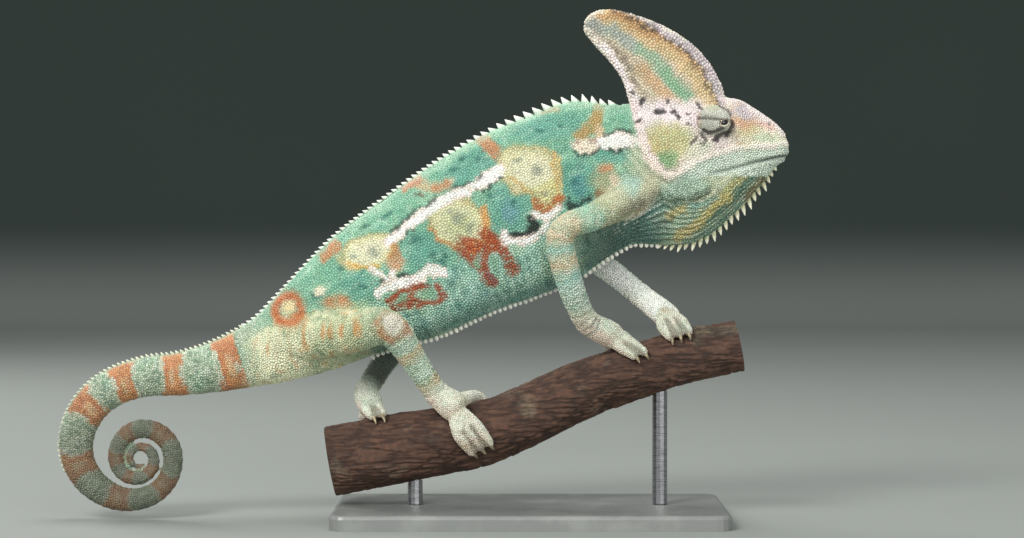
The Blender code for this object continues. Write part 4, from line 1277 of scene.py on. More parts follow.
def paint_limbs(paint):
    places = paint.places
    limb = np.isin(places.part, LIMB_PARTS).astype(float)
    fore = limb * np.isin(places.part, (ARM_R, ARM_L))
    hind = limb - fore
    along = places.limb_length + 0.9 * paint.mottle
    paint.lay(limb, (176, 200, 174))
    paint.lay(limb * smoothstep(-0.1, 0.7, paint.mottle) * 0.5, (152, 196, 170))
    lower = limb * smoothstep(3.4, 4.4, places.limb_t)
    upper = limb - lower
    paint_arms(paint, fore, upper)
    band = smoothstep(0.1, 0.85, np.sin(along * 2 * math.pi / 14.5 + 0.6))
    band = band * smoothstep(-0.8, 0.2, paint.mottle)
    paint.lay(lower * hind * 0.6, (196, 218, 198))
    paint.lay(lower * hind * band * 0.7, (220, 190, 148))
    lines = smoothstep(0.2, 0.8, np.sin(along * 2 * math.pi / 1.9))
    paint.lay(lower * hind * band * lines * 0.5, (198, 146, 100))
    paint.lay(lower * (1 - band) * lines * 0.45, (224, 232, 220))
    paint.lay(upper * hind * 0.85, (166, 184, 146))
    streak = smoothstep(0.1, 0.7, noise(places.points * np.array((1.0, 1.0, 0.2)), 2.2, 24))
    paint.lay(upper * hind * streak * 0.5, (216, 212, 176))
    dark_streak = smoothstep(0.2, 0.8, -noise(places.points * np.array((1.0, 1.0, 0.2)), 1.6, 28))
    paint.lay(upper * hind * dark_streak * 0.35, (112, 132, 100))
    for x, half in ((-91.0, 4.0), (-72.0, 3.6)):
        strip = smoothstep(half + 1.5, half - 1.0, np.abs(paint.x - x))
        paint.lay(upper * hind * strip * (0.3 + 0.5 * streak), (210, 164, 106))
    paint.lay(limb * smoothstep(0.72, 0.82, paint.chance) * 0.35, (116, 162, 136))
    paint.lay(limb * smoothstep(0.72, 0.86, paint.other_chance) * 0.45, (232, 232, 214))
    paint_knee(paint, hind)
    paint_feet(paint, limb, fore, hind)


def paint_arms(paint, fore, upper):
    """Mottled beige, mint and ochre patches of the arms, which follow the limb on both sides."""
    t = paint.places.limb_t + 0.25 * paint.mottle
    for middle, half, colour in (
        (0.6, 0.6, (180, 180, 150)),
        (1.5, 0.4, (182, 182, 144)),
        (2.3, 0.45, (164, 204, 180)),
        (3.1, 0.45, (208, 188, 152)),
        (4.0, 0.30, (218, 192, 158)),
        (4.45, 0.22, (160, 204, 190)),
        (4.95, 0.28, (212, 190, 150)),
        (5.5, 0.30, (168, 206, 198)),
        (6.1, 0.3, (186, 204, 192)),
    ):
        spread = smoothstep(half + 0.3, half - 0.2, np.abs(t - middle))
        paint.lay(fore * spread * (0.55 + 0.4 * smoothstep(-0.4, 0.4, paint.fine + paint.cloud)),
                  colour)
    paint.lay(fore * upper * smoothstep(0.1, 0.8, -paint.fine) * 0.3, (150, 128, 100))
    paint.lay(fore * smoothstep(0.3, 0.9, noise(paint.places.points, 3.2, 29)) * 0.35,
              (216, 170, 124))
    paint.lay(fore * smoothstep(0.4, 0.9, noise(paint.places.points, 2.4, 30)) * 0.4,
              (232, 236, 222))


def paint_knee(paint, hind):
    """The pale knee with its broken rust ring."""
    knee = np.hypot(paint.x + 53.6, paint.z - 79.6)
    outer = smoothstep(0.0, 0.5, paint.places.side * paint.places.normals[:, 1])
    broken = 0.35 + 0.65 * smoothstep(-0.4, 0.3, paint.mottle + 0.3 * paint.fine)
    paint.lay(hind * ridge(knee - 6.0, 1.9) * broken * outer * 0.9, (188, 122, 84))
    paint.lay(hind * smoothstep(5.0, 3.4, knee) * outer * 0.8, (216, 208, 196))


def paint_feet(paint, limb, fore, hind):
    """Pale feet, mint above and pink along the soles, with dark lines across the near wrist, and
    painted shade between the toes and on the hind legs' inner sides.
    """
    places = paint.places
    foot = limb * smoothstep(6.2, 7.0, places.limb_t)
    paint.lay(foot * 0.8, (232, 230, 214))
    paint.lay(foot * smoothstep(0.0, 0.6, paint.mottle) * 0.5, (190, 214, 196))
    low = smoothstep(0.1, -0.6, places.normals[:, 2])
    paint.lay(foot * low * 0.6, (232, 204, 186))
    paint.lay(foot * smoothstep(0.2, 0.8, -paint.mottle) * 0.3, (212, 176, 146))
    paint.lay(foot * smoothstep(0.84, 0.92, paint.chance) * 0.4, (180, 138, 110))
    # Painted shade in the creases between the toes, fainter on the far feet.
    paint.lay(foot * toe_creases(places) * (0.6 - 0.42 * (places.side > 0)), (104, 90, 76))
    near = fore * (places.side < 0)
    for path in (((22.4, 74.4), (25.6, 76.2), (27.6, 80.4)),
                 ((21.0, 76.6), (24.2, 78.0), (26.0, 81.4)),
                 ((19.8, 78.6), (22.4, 79.6))):
        gap = gap_to(places.x, places.z, path)
        paint.lay(near * smoothstep(0.65, 0.2, gap) * 0.55, (86, 96, 90))
    inner = smoothstep(0.0, 0.5, -places.normals[:, 1] * places.side)
    # The limbs' own pale inner colour, pushed near white as painted light where the lamps reach
    # little, most of all on the far arm and its toes.
    paint.lay(inner * (fore + 0.3 * hind) * (0.92 - 0.1 * foot), PALE_SIDE)
    paint.lay(inner * foot * low * 0.5, (252, 240, 228))
    # Painted shade: the hind legs' inner sides are darkened above the feet, so the far leg looks
    # shaded under the belly.
    paint.lay(inner * hind * smoothstep(7.0, 6.3, places.limb_t) * 0.9, (62, 78, 70))


def paint_head(paint):
    places = paint.places
    x, z = paint.x, paint.z
    head = np.isin(places.part, (HEAD_PART, CASQUE_PART, TURRET_PART)).astype(float)
    rear_x = np.interp(places.z, HEAD_REAR[0], HEAD_REAR[1])
    behind = (places.part == BODY_PART) * (places.z > HEAD_REAR[0][0])
    head = np.maximum(head, behind * smoothstep(-0.5, 0.5, places.x - rear_x))
    paint.lay(head, (232, 218, 212))
    paint.lay(head * smoothstep(0.0, 0.6, paint.mottle) * 0.35, (214, 204, 208))
    paint.spot((208, 204, 156), (55.0, 149.8), (9.6, 8.6), 0, 0.35, 0.95, head)
    flecks = smoothstep(0.6, 0.8, paint.chance)
    paint.spot((206, 176, 120), (54.0, 151.0), (7.0, 6.2), 0, 0.5, 0.6,
               head * (0.35 + 0.65 * flecks))
    paint.spot((196, 200, 152), (56.0, 153.0), (7.4, 5.6), 0, 0.6, 0.5, head * (1 - flecks))
    paint.spot((140, 180, 134), (54.6, 143.8), (4.2, 3.0), 20, 0.5, 0.85, head)
    paint.spot((226, 228, 206), (66.6, 147.6), (6.0, 3.0), 30, 0.5, 0.7, head)
    paint.lay(head * smoothstep(76, 84, x) * smoothstep(160, 154, z) * 0.8, (246, 238, 212))
    paint.spot((216, 168, 122), (85.2, 158.4), (5.6, 2.0), -12, 0.6, 0.75, head)
    paint.spot((216, 200, 142), (86.0, 155.0), (5.2, 2.0), 0, 0.6, 0.55, head)
    paint.spot((238, 200, 186), (93.6, 158.0), (5.0, 2.2), -24, 0.5, 0.8, head)
    paint.spot((208, 196, 204), (84.6, 162.6), (5.0, 2.0), -30, 0.6, 0.7, head)
    paint.spot((204, 222, 192), (94.0, 151.8), (6.4, 1.8), 0, 0.5, 0.7, head)
    paint.lay(head * smoothstep(70, 80, x) * smoothstep(0.8, 0.95, paint.other_chance) * 0.4,
              (196, 150, 120))
    jaw_line = gap_to(x, z, CHEEK_RIDGE)
    ridge_x = (52, 56, 61, 68.4, 78.4, 92, 103)
    ridge_z = (134, 137, 139.8, 144.4, 148.2, 149.4, 150.2)
    under = head * smoothstep(0.0, 1.4, jaw_line) * (z < np.interp(x, ridge_x, ridge_z))
    paint.lay(under * 0.95, (218, 232, 218))
    paint.lay(under * smoothstep(0.1, 0.7, paint.mottle) * 0.45, (208, 214, 188))
    paint.stroke((250, 240, 228), CHEEK_RIDGE, 1.1, 0.9, 0.95, head)
    paint_casque(paint, head)
    paint.spots((42, 38, 42), (
        ((50.8, 163.1), (2.3, 1.2), 6), ((56.6, 163.3), (1.9, 1.4), -10),
        ((58.7, 160.6), (1.3, 1.7), 30), ((62.8, 161.9), (0.9, 0.9), 0),
        ((63.2, 157.9), (0.9, 1.0), 0), ((44.4, 167.2), (1.0, 1.1), 0),
        ((43.4, 158.9), (1.4, 0.7), 0), ((40.8, 170.5), (1.0, 0.9), 0),
        ((73.2, 151.6), (1.1, 0.8), 20), ((68.0, 149.8), (1.2, 0.8), 0),
        ((47.4, 165.6), (0.7, 0.6), 0), ((54.4, 166.6), (0.8, 0.6), 0),
    ), 0.25, 0.95, head)
    gap, t = along_path(places.x, places.z, MOUTH)
    mouth = head * smoothstep(1.0, 0.9, t) * (places.x > 69)
    # Painted shade along the mouth's line: a soft band under the lip and a darker seam towards the
    # snout.
    paint.lay(mouth * ridge(gap, 1.1) * 0.45, (104, 124, 118))
    paint.lay(mouth * ridge(gap, 0.5) * smoothstep(84, 96, places.x) * 0.8, (70, 74, 70))
    nostril = np.hypot(places.x - NOSTRIL[0], places.z - NOSTRIL[1])
    # Painted shade in the nostril's hollow.
    paint.lay(head * smoothstep(1.0, 0.4, nostril) * 0.6, (120, 104, 100))
    front = np.hypot(x - 80.6, z - 156.6)
    paint.lay(head * smoothstep(3.0, 1.0, front) * 0.3, (150, 120, 104))
    paint_creases(paint, head)


def paint_jaw(paint):
    """The cheek ridge and the swelling at the jaw's corner, on the head and the throat."""
    x, z = paint.x, paint.z
    where = np.isin(paint.places.part, (HEAD_PART, BODY_PART)) * smoothstep(42, 45, x)
    paint.spot((176, 200, 180), (61.6, 132.6), (9.6, 4.7), 8, 0.25, 0.85, where)
    grain = where * smoothstep(0.55, 0.7, paint.chance)
    paint.spot((104, 128, 116), (61.6, 132.2), (9.0, 4.4), 8, 0.3, 0.5, grain)
    # Painted shade under the swelling: dark rings round its lower half only.
    low = where * smoothstep(134, 131.6, z)
    for grow, strength in ((1.08, 0.9), (1.42, 0.6)):
        gap = np.abs(paint.reach((61.6, 132.9), (9.8 * grow, 5.0 * grow), 8) - 1) * 6
        paint.lay(low * ridge(gap, 0.5) * strength, (66, 88, 66))
    gap, t = along_path(x, z, CHEEK_RIDGE)
    hook = where * smoothstep(0.5, 0.6, t)
    paint.lay(hook * smoothstep(1.7, 0.7, gap) * 0.9, (248, 232, 220))
    paint.lay(hook * ridge(gap - 2.1, 0.5) * (z < 142) * 0.5, (120, 110, 92))


def paint_creases(paint, where):
    # Painted shade: the creases round the eye are painted near black.
    for path, half_width in CREASES:
        gap = gap_to(paint.places.x, paint.places.z, path)
        paint.lay(where * smoothstep(half_width + 0.45, half_width - 0.1, gap) * 0.85, (58, 50, 48))


def paint_casque(paint, head):
    x, z = paint.x, paint.z
    casque = head * smoothstep(163, 168, z) * smoothstep(86, 80, x)
    front = gap_to(x, z, [(row[2], row[0]) for row in CASQUE])
    rear = gap_to(x, z, [(row[1], row[0]) for row in CASQUE])
    wide = np.interp(z, (165, 180, 192, 196, 199, 202), (4.4, 4.3, 4.0, 3.4, 2.0, 0.9))
    paint.lay(casque * 0.95, (212, 198, 174))
    paint.lay(casque * smoothstep(0.0, 0.6, paint.mottle) * 0.4, (214, 196, 168))
    paint.lay(casque * smoothstep(0.7, 0.85, paint.chance) * 0.4, (142, 120, 96))
    band = casque * smoothstep(wide + 7.6, wide + 4.6, front)
    paint.lay(band * 0.9, (224, 200, 158))
    strong = smoothstep(wide + 4.4, wide + 1.4, front) * smoothstep(170, 188, z)
    paint.lay(band * (0.35 + 0.65 * strong) * (0.6 + 0.4 * (paint.chance > 0.35)), (202, 158, 106))
    paint.lay(casque * smoothstep(0.6, 0.8, paint.chance) * smoothstep(14, 9, front) * 0.35,
              (226, 218, 176))
    paint.stroke((166, 178, 172), ((24.4, 197.6), (32.0, 196.0), (38.0, 192.4), (42.6, 189.0)),
                 2.6, 1.6, 0.85, casque)
    streak = ((44.0, 188.4), (49.2, 184.6), (54.0, 178.8), (58.0, 174.0), (62.4, 170.2))
    paint.stroke((154, 186, 156), streak, 2.8, 1.8, 0.85, casque)
    paint.stroke((134, 182, 144), streak[2:], 1.5, 1.4, 0.75, casque)
    paint.stroke((206, 170, 128), ((45.0, 180.0), (49.6, 175.0), (54.4, 169.6)),
                 2.8, 1.6, 0.75, casque)
    paint.stroke((196, 154, 108), ((28.0, 201.6), (34.0, 201.0), (42.0, 198.0), (49.0, 194.0)),
                 1.5, 0.9, 0.75, casque)
    tip = casque * (0.4 + 0.6 * (paint.chance > 0.45))
    paint.spot((128, 116, 110), (25.6, 197.0), (3.0, 3.0), 0, 0.6, 0.55, tip)
    paint.spot((168, 120, 78), (38.0, 200.6), (5.0, 1.0), -14, 0.6, 0.6, tip)
    paint.lay(casque * smoothstep(4.4, 1.6, rear) * smoothstep(196, 188, z) * 0.9, (254, 240, 246))
    border = casque * smoothstep(wide + 0.5, wide - 0.5, front)
    paint.lay(border * 0.95, (214, 202, 206))
    paint.lay(border * smoothstep(0.62, 0.8, paint.chance) * 0.4, (170, 156, 164))
    edge = np.minimum(front, rear)
    paint.lay(casque * smoothstep(1.5, 0.7, edge) * 0.8, (242, 232, 216))
    dots = smoothstep(0.35, 0.5, paint.chance + 0.25 * np.sin((z - 0.6 * x) * 2 * math.pi / 2.6))
    paint.lay(casque * ridge(front - wide - 0.2, 1.05) * dots * 0.9, (70, 52, 44))
    paint.lay(casque * ridge(rear - 4.6, 0.9) * dots * smoothstep(194, 188, z) * 0.6, (104, 84, 78))
    lower = head * smoothstep(170, 165, z) * smoothstep(156, 160, z) * smoothstep(72, 66, x)
    paint.lay(lower * 0.85, (240, 226, 228))
    gap = gap_to(x, z, BROW_RIDGE)
    paint.lay(head * smoothstep(2.2, 1.2, gap) * 0.8, (238, 228, 224))
    gap = gap_to(x, z, REAR_RIDGE)
    paint.lay(head * smoothstep(2.0, 1.2, gap) * smoothstep(186, 176, z) * 0.85, (242, 224, 222))


def paint_lids(paint):
    places = paint.places
    turret = (places.part == TURRET_PART).astype(float)
    paint.lay(turret, (194, 194, 182))
    paint.lay(turret * smoothstep(0.0, 0.6, paint.mottle) * 0.5, (220, 220, 208))
    top = np.hypot(places.x - 72.0, places.z - 166.0)
    paint.lay(turret * smoothstep(4.5, 2.0, top) * 0.45, (196, 200, 160))
    behind = turret * smoothstep(68.4, 66.4, places.x)
    paint.lay(behind * 0.5, (190, 142, 122))
    slit = gap_to(places.x, places.z, SLIT)
    # Painted shade in the slit between the lids.
    paint.lay(turret * ridge(slit, 0.55) * 0.85, (74, 64, 58))
    rim = ((74.8, 157.6), (76.4, 156.5), (78.3, 156.7), (79.3, 158.3))
    lower_rim = gap_to(places.x, places.z, rim)
    # Painted highlight on the lower rim of the opening.
    paint.lay(turret * ridge(lower_rim, 0.5) * 0.7, (230, 222, 206))
    paint_creases(paint, turret)


def colours_of(places, lines):
    """The animal's colours at the places, without the differences from scale to scale."""
    paint = Paint(places, MINT)
    paint_flank(paint)
    paint_neck(paint)
    paint_tail(paint, lines[BODY_PART])
    back = (places.part == BODY_PART) * smoothstep(0.86, 0.97, places.height)
    back = back * smoothstep(56, 46, places.x)
    paint.lay(back * 0.5, PALE_MINT)
    paint_limbs(paint)
    paint_rump(paint)
    paint_head(paint)
    paint_jaw(paint)
    paint_shoulder(paint)
    paint_lids(paint)
    return np.clip(paint.colour * (1 + 0.10 * paint.mottle[:, None]), 0.004, 0.95)


# ---- objects and materials ----

def mesh_object(name, points, faces):
    """An object from points in millimetres and an array of faces."""
    mesh = bpy.data.meshes.new(name)
    sizes = np.full(len(faces), faces.shape[1], np.int32)
    mesh.vertices.add(len(points))
    mesh.vertices.foreach_set("co", (np.asarray(points) * MM).astype(np.float32).ravel())
    mesh.loops.add(faces.size)
    mesh.loops.foreach_set("vertex_index", faces.astype(np.int32).ravel())
    mesh.polygons.add(len(faces))
    starts = np.concatenate([[0], np.cumsum(sizes)[:-1]]).astype(np.int32)
    mesh.polygons.foreach_set("loop_start", starts)
    mesh.polygons.foreach_set("loop_total", sizes)
    mesh.update(calc_edges=True)
    mesh.shade_smooth()
    obj = bpy.data.objects.new(name, mesh)
    bpy.context.scene.collection.objects.link(obj)
    return obj


def set_colours(obj, colours):
    """Stores a linear colour for each vertex, which the materials read as Paint."""
    attribute = obj.data.color_attributes.new("Paint", "FLOAT_COLOR", "POINT")
    values = np.concatenate([colours, np.ones((len(colours), 1))], 1)
    attribute.data.foreach_set("color", values.astype(np.float32).ravel())


class Nodes:
    """A material's node tree with short calls to add nodes and links."""

    def __init__(self, name):
        self.material = bpy.data.materials.new(name)
        self.material.use_nodes = True
        self.tree = self.material.node_tree
        self.shader = self.tree.nodes["Principled BSDF"]
        self.place = self.add("ShaderNodeTexCoord").outputs["Object"]

    def add(self, kind, **settings):
        node = self.tree.nodes.new(kind)
        for name, value in settings.items():
            setattr(node, name, value)
        return node

    def put(self, node, name, value):
        """Sets a node's input to a number or links it to an output."""
        socket = node.inputs[name]
        if isinstance(value, bpy.types.NodeSocket):
            self.tree.links.new(value, socket)
        else:
            socket.default_value = value

    def noise(self, scale, detail=4.0, roughness=0.55, place=None):
        node = self.add("ShaderNodeTexNoise")
        self.put(node, "Vector", place or self.place)
        self.put(node, "Scale", scale)
        self.put(node, "Detail", detail)
        self.put(node, "Roughness", roughness)
        return node.outputs["Fac"]

    def spread(self, value, low, high, to_low, to_high):
        node = self.add("ShaderNodeMapRange", interpolation_type="SMOOTHSTEP")
        for name, number in zip(("Value", "From Min", "From Max", "To Min", "To Max"),
                                (value, low, high, to_low, to_high)):
            self.put(node, name, number)
        return node.outputs["Result"]

    def mix(self, share, first, second, way="MIX"):
        node = self.add("ShaderNodeMix", data_type="RGBA", blend_type=way)
        self.put(node, 0, share)
        self.put(node, 6, first)
        self.put(node, 7, second)
        return node.outputs[2]

    def bump(self, height, strength, distance):
        node = self.add("ShaderNodeBump")
        self.put(node, "Height", height)
        self.put(node, "Strength", strength)
        self.put(node, "Distance", distance)
        return node.outputs["Normal"]

    def stored_paint(self):
        """The colours that set_colours stores on the mesh."""
        return self.add("ShaderNodeVertexColor", layer_name="Paint").outputs["Color"]

    def shaded(self, colour, shade):
        """The colour times a number."""
        node = self.add("ShaderNodeVectorMath", operation="SCALE")
        self.put(node, 0, colour)
        self.put(node, "Scale", shade)
        return node.outputs[0]

    def finish(self, **inputs):
        for name, value in inputs.items():
            self.put(self.shader, name.replace("_", " "), value)
        return self.material


def rgba(colour):
    return (*[float(v) for v in colour], 1.0)


def blended(first, second, share):
    """The first colour where share is 0 and the second where it is 1."""
    share = share[:, None]
    return first * (1 - share) + second * share


def hide_material(name, rough, coat_bump):
    """Painted reptile skin: the stored markings, with fine mottling, worn gloss and grain."""
    n = Nodes(name)
    shade = n.spread(n.noise(900.0, 3.0), 0.3, 0.7, 0.82, 1.12)
    blotch = n.spread(n.noise(140.0, 4.0), 0.35, 0.65, 0.0, 1.0)
    tint = n.mix(blotch, rgba((0.93, 0.96, 0.9)), rgba((1.05, 1.03, 1.0)))
    colour = n.mix(1.0, n.stored_paint(), tint, "MULTIPLY")
    gloss = n.spread(n.noise(420.0, 3.0), 0.3, 0.7, rough - 0.08, rough + 0.1)
    normal = n.bump(n.noise(1500.0, 4.0, 0.6), coat_bump, 0.0002)
    return n.finish(Base_Color=n.shaded(colour, shade), Roughness=gloss, Normal=normal)


# ---- scales ----

SCALE_SIDES = 7
TOP_SHADE, SHOULDER_SHADE, RIM_SHADE = 1.05, 1.0, 0.70
RIM_REACH, SHOULDER_REACH = 0.985, 0.80  # shares of the way to the scale's outline
SHOULDER_HEIGHT = 0.72  # share of the scale's height
RIM_DEPTH = 0.16  # how far the rim sinks into the skin
NEIGHBOUR_TINT = 0.32  # share of the next scale's colour on the shoulder
CLOSEST = 0.86  # nearest spread places over the spacing
DENSEST = 9.0  # most places tried per spacing squared
PUSHERS, PUSH, SETTLING_PASSES = 7, 0.42, 4
OUTLINERS = 11  # neighbours that shape a scale's outline
LEAST_REACH, MOST_REACH = 0.2, 0.68  # of an outline's corner, over the spacing


def spacings(places):
    """How far apart scales sit, in millimetres."""
    x, part = places.x, places.part
    body, limb = part == BODY_PART, np.isin(part, LIMB_PARTS)
    throat = body & (x > 40) & (places.height < 0.2)
    rules = (
        (body & (x > 30), 0.98),
        (throat, 0.88),
        (body & (x < -104), 0.94),
        (body & (places.body_t > coil_t(250)), 0.80),
        (limb, 0.95),
        (limb & (places.limb_t > 6.6), 0.78),
        (part == HEAD_PART, 1.05),
        ((part == HEAD_PART) & (x > 80), 0.90),
        (part == CASQUE_PART, 1.16),
        (part == TURRET_PART, 0.68),
    )
    apart = np.full(len(x), 1.06)
    for chosen, value in rules:
        apart = np.where(chosen, value, apart)
    return apart


def scattered(points, quads, apart, seed):
    """Points at least a distance apart all over the quads, from Geometry Nodes' Poisson spread."""
    used, index = np.unique(quads, return_inverse=True)
    obj = mesh_object("scatter_helper", points[used], index.reshape(quads.shape))
    group = bpy.data.node_groups.new("scatter", "GeometryNodeTree")
    group.interface.new_socket("Geometry", in_out="INPUT", socket_type="NodeSocketGeometry")
    group.interface.new_socket("Geometry", in_out="OUTPUT", socket_type="NodeSocketGeometry")
    start, end = group.nodes.new("NodeGroupInput"), group.nodes.new("NodeGroupOutput")
    spread = group.nodes.new("GeometryNodeDistributePointsOnFaces")
    spread.distribute_method = "POISSON"
    spread.inputs["Distance Min"].default_value = apart * MM * CLOSEST
    spread.inputs["Density Max"].default_value = DENSEST / (apart * MM) ** 2
    spread.inputs["Seed"].default_value = seed
    vertices = group.nodes.new("GeometryNodePointsToVertices")
    group.links.new(start.outputs[0], spread.inputs["Mesh"])
    group.links.new(spread.outputs["Points"], vertices.inputs["Points"])
    group.links.new(vertices.outputs["Mesh"], end.inputs[0])
    obj.modifiers.new("scatter", "NODES").node_group = group
    evaluated = obj.evaluated_get(bpy.context.evaluated_depsgraph_get())
    found = np.empty(len(evaluated.data.vertices) * 3, np.float32)
    evaluated.data.vertices.foreach_get("co", found)
    bpy.data.objects.remove(obj)
    bpy.data.node_groups.remove(group)
    return found.reshape(-1, 3).astype(float) / MM


def neighbours(points, count):
    """Indices of each point's nearest others."""
    tree = KDTree(len(points))
    for k, point in enumerate(points):
        tree.insert(point, k)
    tree.balance()
    return np.array([[hit[1] for hit in tree.find_n(point, count + 1)][1:] for point in points])


def settled(seeds, apart, surface, passes):
    """The seeds after they push each other to even gaps, kept on the surface."""
    for _ in range(passes):
        near = neighbours(seeds, PUSHERS)
        way = seeds[:, None] - seeds[near]
        gap = np.linalg.norm(way, axis=2, keepdims=True) + 1e-6
        wanted = (apart[:, None, None] + apart[near][..., None]) / 2
        push = way / gap * np.clip(wanted - gap, 0, None) * PUSH
        moved = seeds + push.sum(1)
        seeds = np.array([surface.tree.find_nearest(point)[0] for point in moved])
    return seeds


def cells(points, normals, apart, near):
    """Each scale's outline: ways to its corners, how far they are, the neighbour beyond each."""
    aim = np.where(np.abs(normals[:, [2]]) < 0.9, np.array([[0, 0, 1.0]]), np.array([[1.0, 0, 0]]))
    e1 = unit(np.cross(aim, normals))
    e2 = np.cross(normals, e1)
    way = points[near] - points[:, None]
    flat = np.stack([(way * e1[:, None]).sum(2), (way * e2[:, None]).sum(2)], 2)
    reach = (flat ** 2).sum(2) / 2
    spin = lattice_value(np.rint(points * 50).astype(np.int64), 3) * 2 * math.pi / SCALE_SIDES
    angle = turns(SCALE_SIDES)[None] + spin[:, None]
    u = np.stack([np.cos(angle), np.sin(angle)], 2)
    ahead = np.einsum("nkc,njc->njk", flat, u)
    radius = np.where(ahead > 1e-4, reach[:, None] / np.maximum(ahead, 1e-4), 1e9)
    beside = np.take_along_axis(near, radius.argmin(2), 1)
    radius = np.clip(radius.min(2), LEAST_REACH * apart[:, None], MOST_REACH * apart[:, None])
    return u[..., :1] * e1[:, None] + u[..., 1:] * e2[:, None], radius, beside


class Scales:
    """All scales as arrays: place, normal, outline, height and colours."""

    def __init__(self, points, normals, places, colours):
        self.points, self.normals = points, normals
        apart = spacings(places)
        near = neighbours(points, OUTLINERS)
        self.ways, self.radius, self.beside = cells(points, normals, apart, near)
        chance = lattice_value(np.rint(points * 40).astype(np.int64), 5)
        size = self.radius.mean(1) * 2
        horny = np.isin(places.part, (HEAD_PART, CASQUE_PART))
        self.height = np.clip(size * np.where(horny, 0.23, 0.24) * (0.75 + 0.5 * chance), 0.1, COAT)
        hue = lattice_value(np.rint(points * 30).astype(np.int64), 6) - 0.5
        tint = 1 + 0.16 * (chance - 0.5)[:, None] + 0.05 * hue[:, None] * np.array((1.0, 0.2, -1.0))
        self.colours = colours * tint

    def mesh(self, chosen):
        """Points, triangles, colours and the scale that each point belongs to."""
        centre, normal = self.points[chosen], self.normals[chosen]
        ways, radius = self.ways[chosen], self.radius[chosen][..., None]
        height = self.height[chosen][:, None, None]
        up = normal[:, None]
        rim = centre[:, None] + ways * radius * RIM_REACH - up * RIM_DEPTH
        shoulder = centre[:, None] + ways * radius * SHOULDER_REACH + up * height * SHOULDER_HEIGHT
        top = centre[:, None] + up * height
        sides = SCALE_SIDES
        points = np.concatenate([top, shoulder, rim], 1)
        k = np.arange(sides)
        after = (k + 1) % sides
        cap = np.stack([np.zeros(sides, int), 1 + k, 1 + after], 1)
        skirt_a = np.stack([1 + k, 1 + sides + k, 1 + sides + after], 1)
        skirt_b = np.stack([1 + k, 1 + sides + after, 1 + after], 1)
        pattern = np.concatenate([cap, skirt_a, skirt_b])
        per = 1 + 2 * sides
        triangles = (np.arange(len(centre)) * per)[:, None, None] + pattern
        own = self.colours[chosen][:, None]
        other = self.colours[self.beside[chosen]]
        shared = own * (1 - NEIGHBOUR_TINT) + other * NEIGHBOUR_TINT
        colours = np.concatenate([own * TOP_SHADE, shared * SHOULDER_SHADE,
                                  (own + other) / 2 * RIM_SHADE], 1)
        owner = np.repeat(np.arange(len(centre)), per)
        return points.reshape(-1, 3), triangles.reshape(-1, 3), colours.reshape(-1, 3), owner


PATCH = 0.003  # size of each scale's patch on the bake map
PATCH_SHOULDER = 0.55  # where a scale's shoulder lies within its patch
MAP_EDGE = 0.004


def unwrap_places(points, surface):
    """Where each root lies on an unwrap of the skin under this piece, from 0 to 1."""
    hits = [surface.tree.find_nearest(point) for point in points]
    face = np.array([hit[2] for hit in hits])
    used, renumbered = np.unique(face, return_inverse=True)
    corners, index = np.unique(surface.quads[used], return_inverse=True)
    obj = mesh_object("unwrap_helper", surface.points[corners], index.reshape(-1, 4))
    bpy.context.view_layer.objects.active = obj
    obj.select_set(True)
    bpy.ops.object.mode_set(mode="EDIT")
    bpy.ops.mesh.select_all(action="SELECT")
    bpy.ops.uv.smart_project(angle_limit=math.radians(66), island_margin=MAP_EDGE)
    bpy.ops.object.mode_set(mode="OBJECT")
    uv = np.empty(len(obj.data.loops) * 2, np.float32)
    obj.data.uv_layers.active.data.foreach_get("uv", uv)
    uv = uv.reshape(-1, 4, 2)
    found = np.empty((len(points), 2))
    for k, (hit, corner) in enumerate(zip(hits, renumbered)):
        a, b, c, d = (Vector(surface.points[v]) for v in surface.quads[used[corner]])
        ua, ub, uc, ud = (Vector((*place, 0)) for place in uv[corner])
        near_first = (hit[0] - b).length_squared <= (hit[0] - d).length_squared
        flat = (a, b, c, ua, ub, uc) if near_first else (a, c, d, ua, uc, ud)
        found[k] = barycentric_transform(hit[0], *flat)[:2]
    bpy.data.objects.remove(obj)
    low, high = found.min(0), found.max(0)
    return MAP_EDGE + (found - low) / (high - low) * (1 - 2 * MAP_EDGE)


def set_bake_map(obj, roots, owner, local):
    """The OFBake map: each small piece is a patch PATCH across at its root's place."""
    layer = obj.data.uv_layers.new(name="OFBake")
    corner = np.empty(len(obj.data.loops), np.int32)
    obj.data.loops.foreach_get("vertex_index", corner)
    place = roots[owner] + local * PATCH / 2
    layer.data.foreach_set("uv", np.clip(place[corner], 0, 1).astype(np.float32).ravel())


def round_patch(count):
    """Places of a scale's points within its patch: its middle, its shoulder and its rim."""
    ring = circle(SCALE_SIDES)
    return np.tile(np.concatenate([[[0, 0]], ring * PATCH_SHOULDER, ring]), (count, 1))


# Pieces of the body's coat: name, front x and rear x; and of the tail's, along the centreline
BODY_LENGTHS = (("neck", math.inf, 30), ("shoulder", 30, -6), ("flank", -6, -44),
                ("rump", -44, -104))
TAIL_LENGTHS = (("root", 0, coil_t(120)), ("bend", coil_t(120), coil_t(300)),
                ("roll", coil_t(300), math.inf))
TAIL_X = BODY_LENGTHS[-1][2]


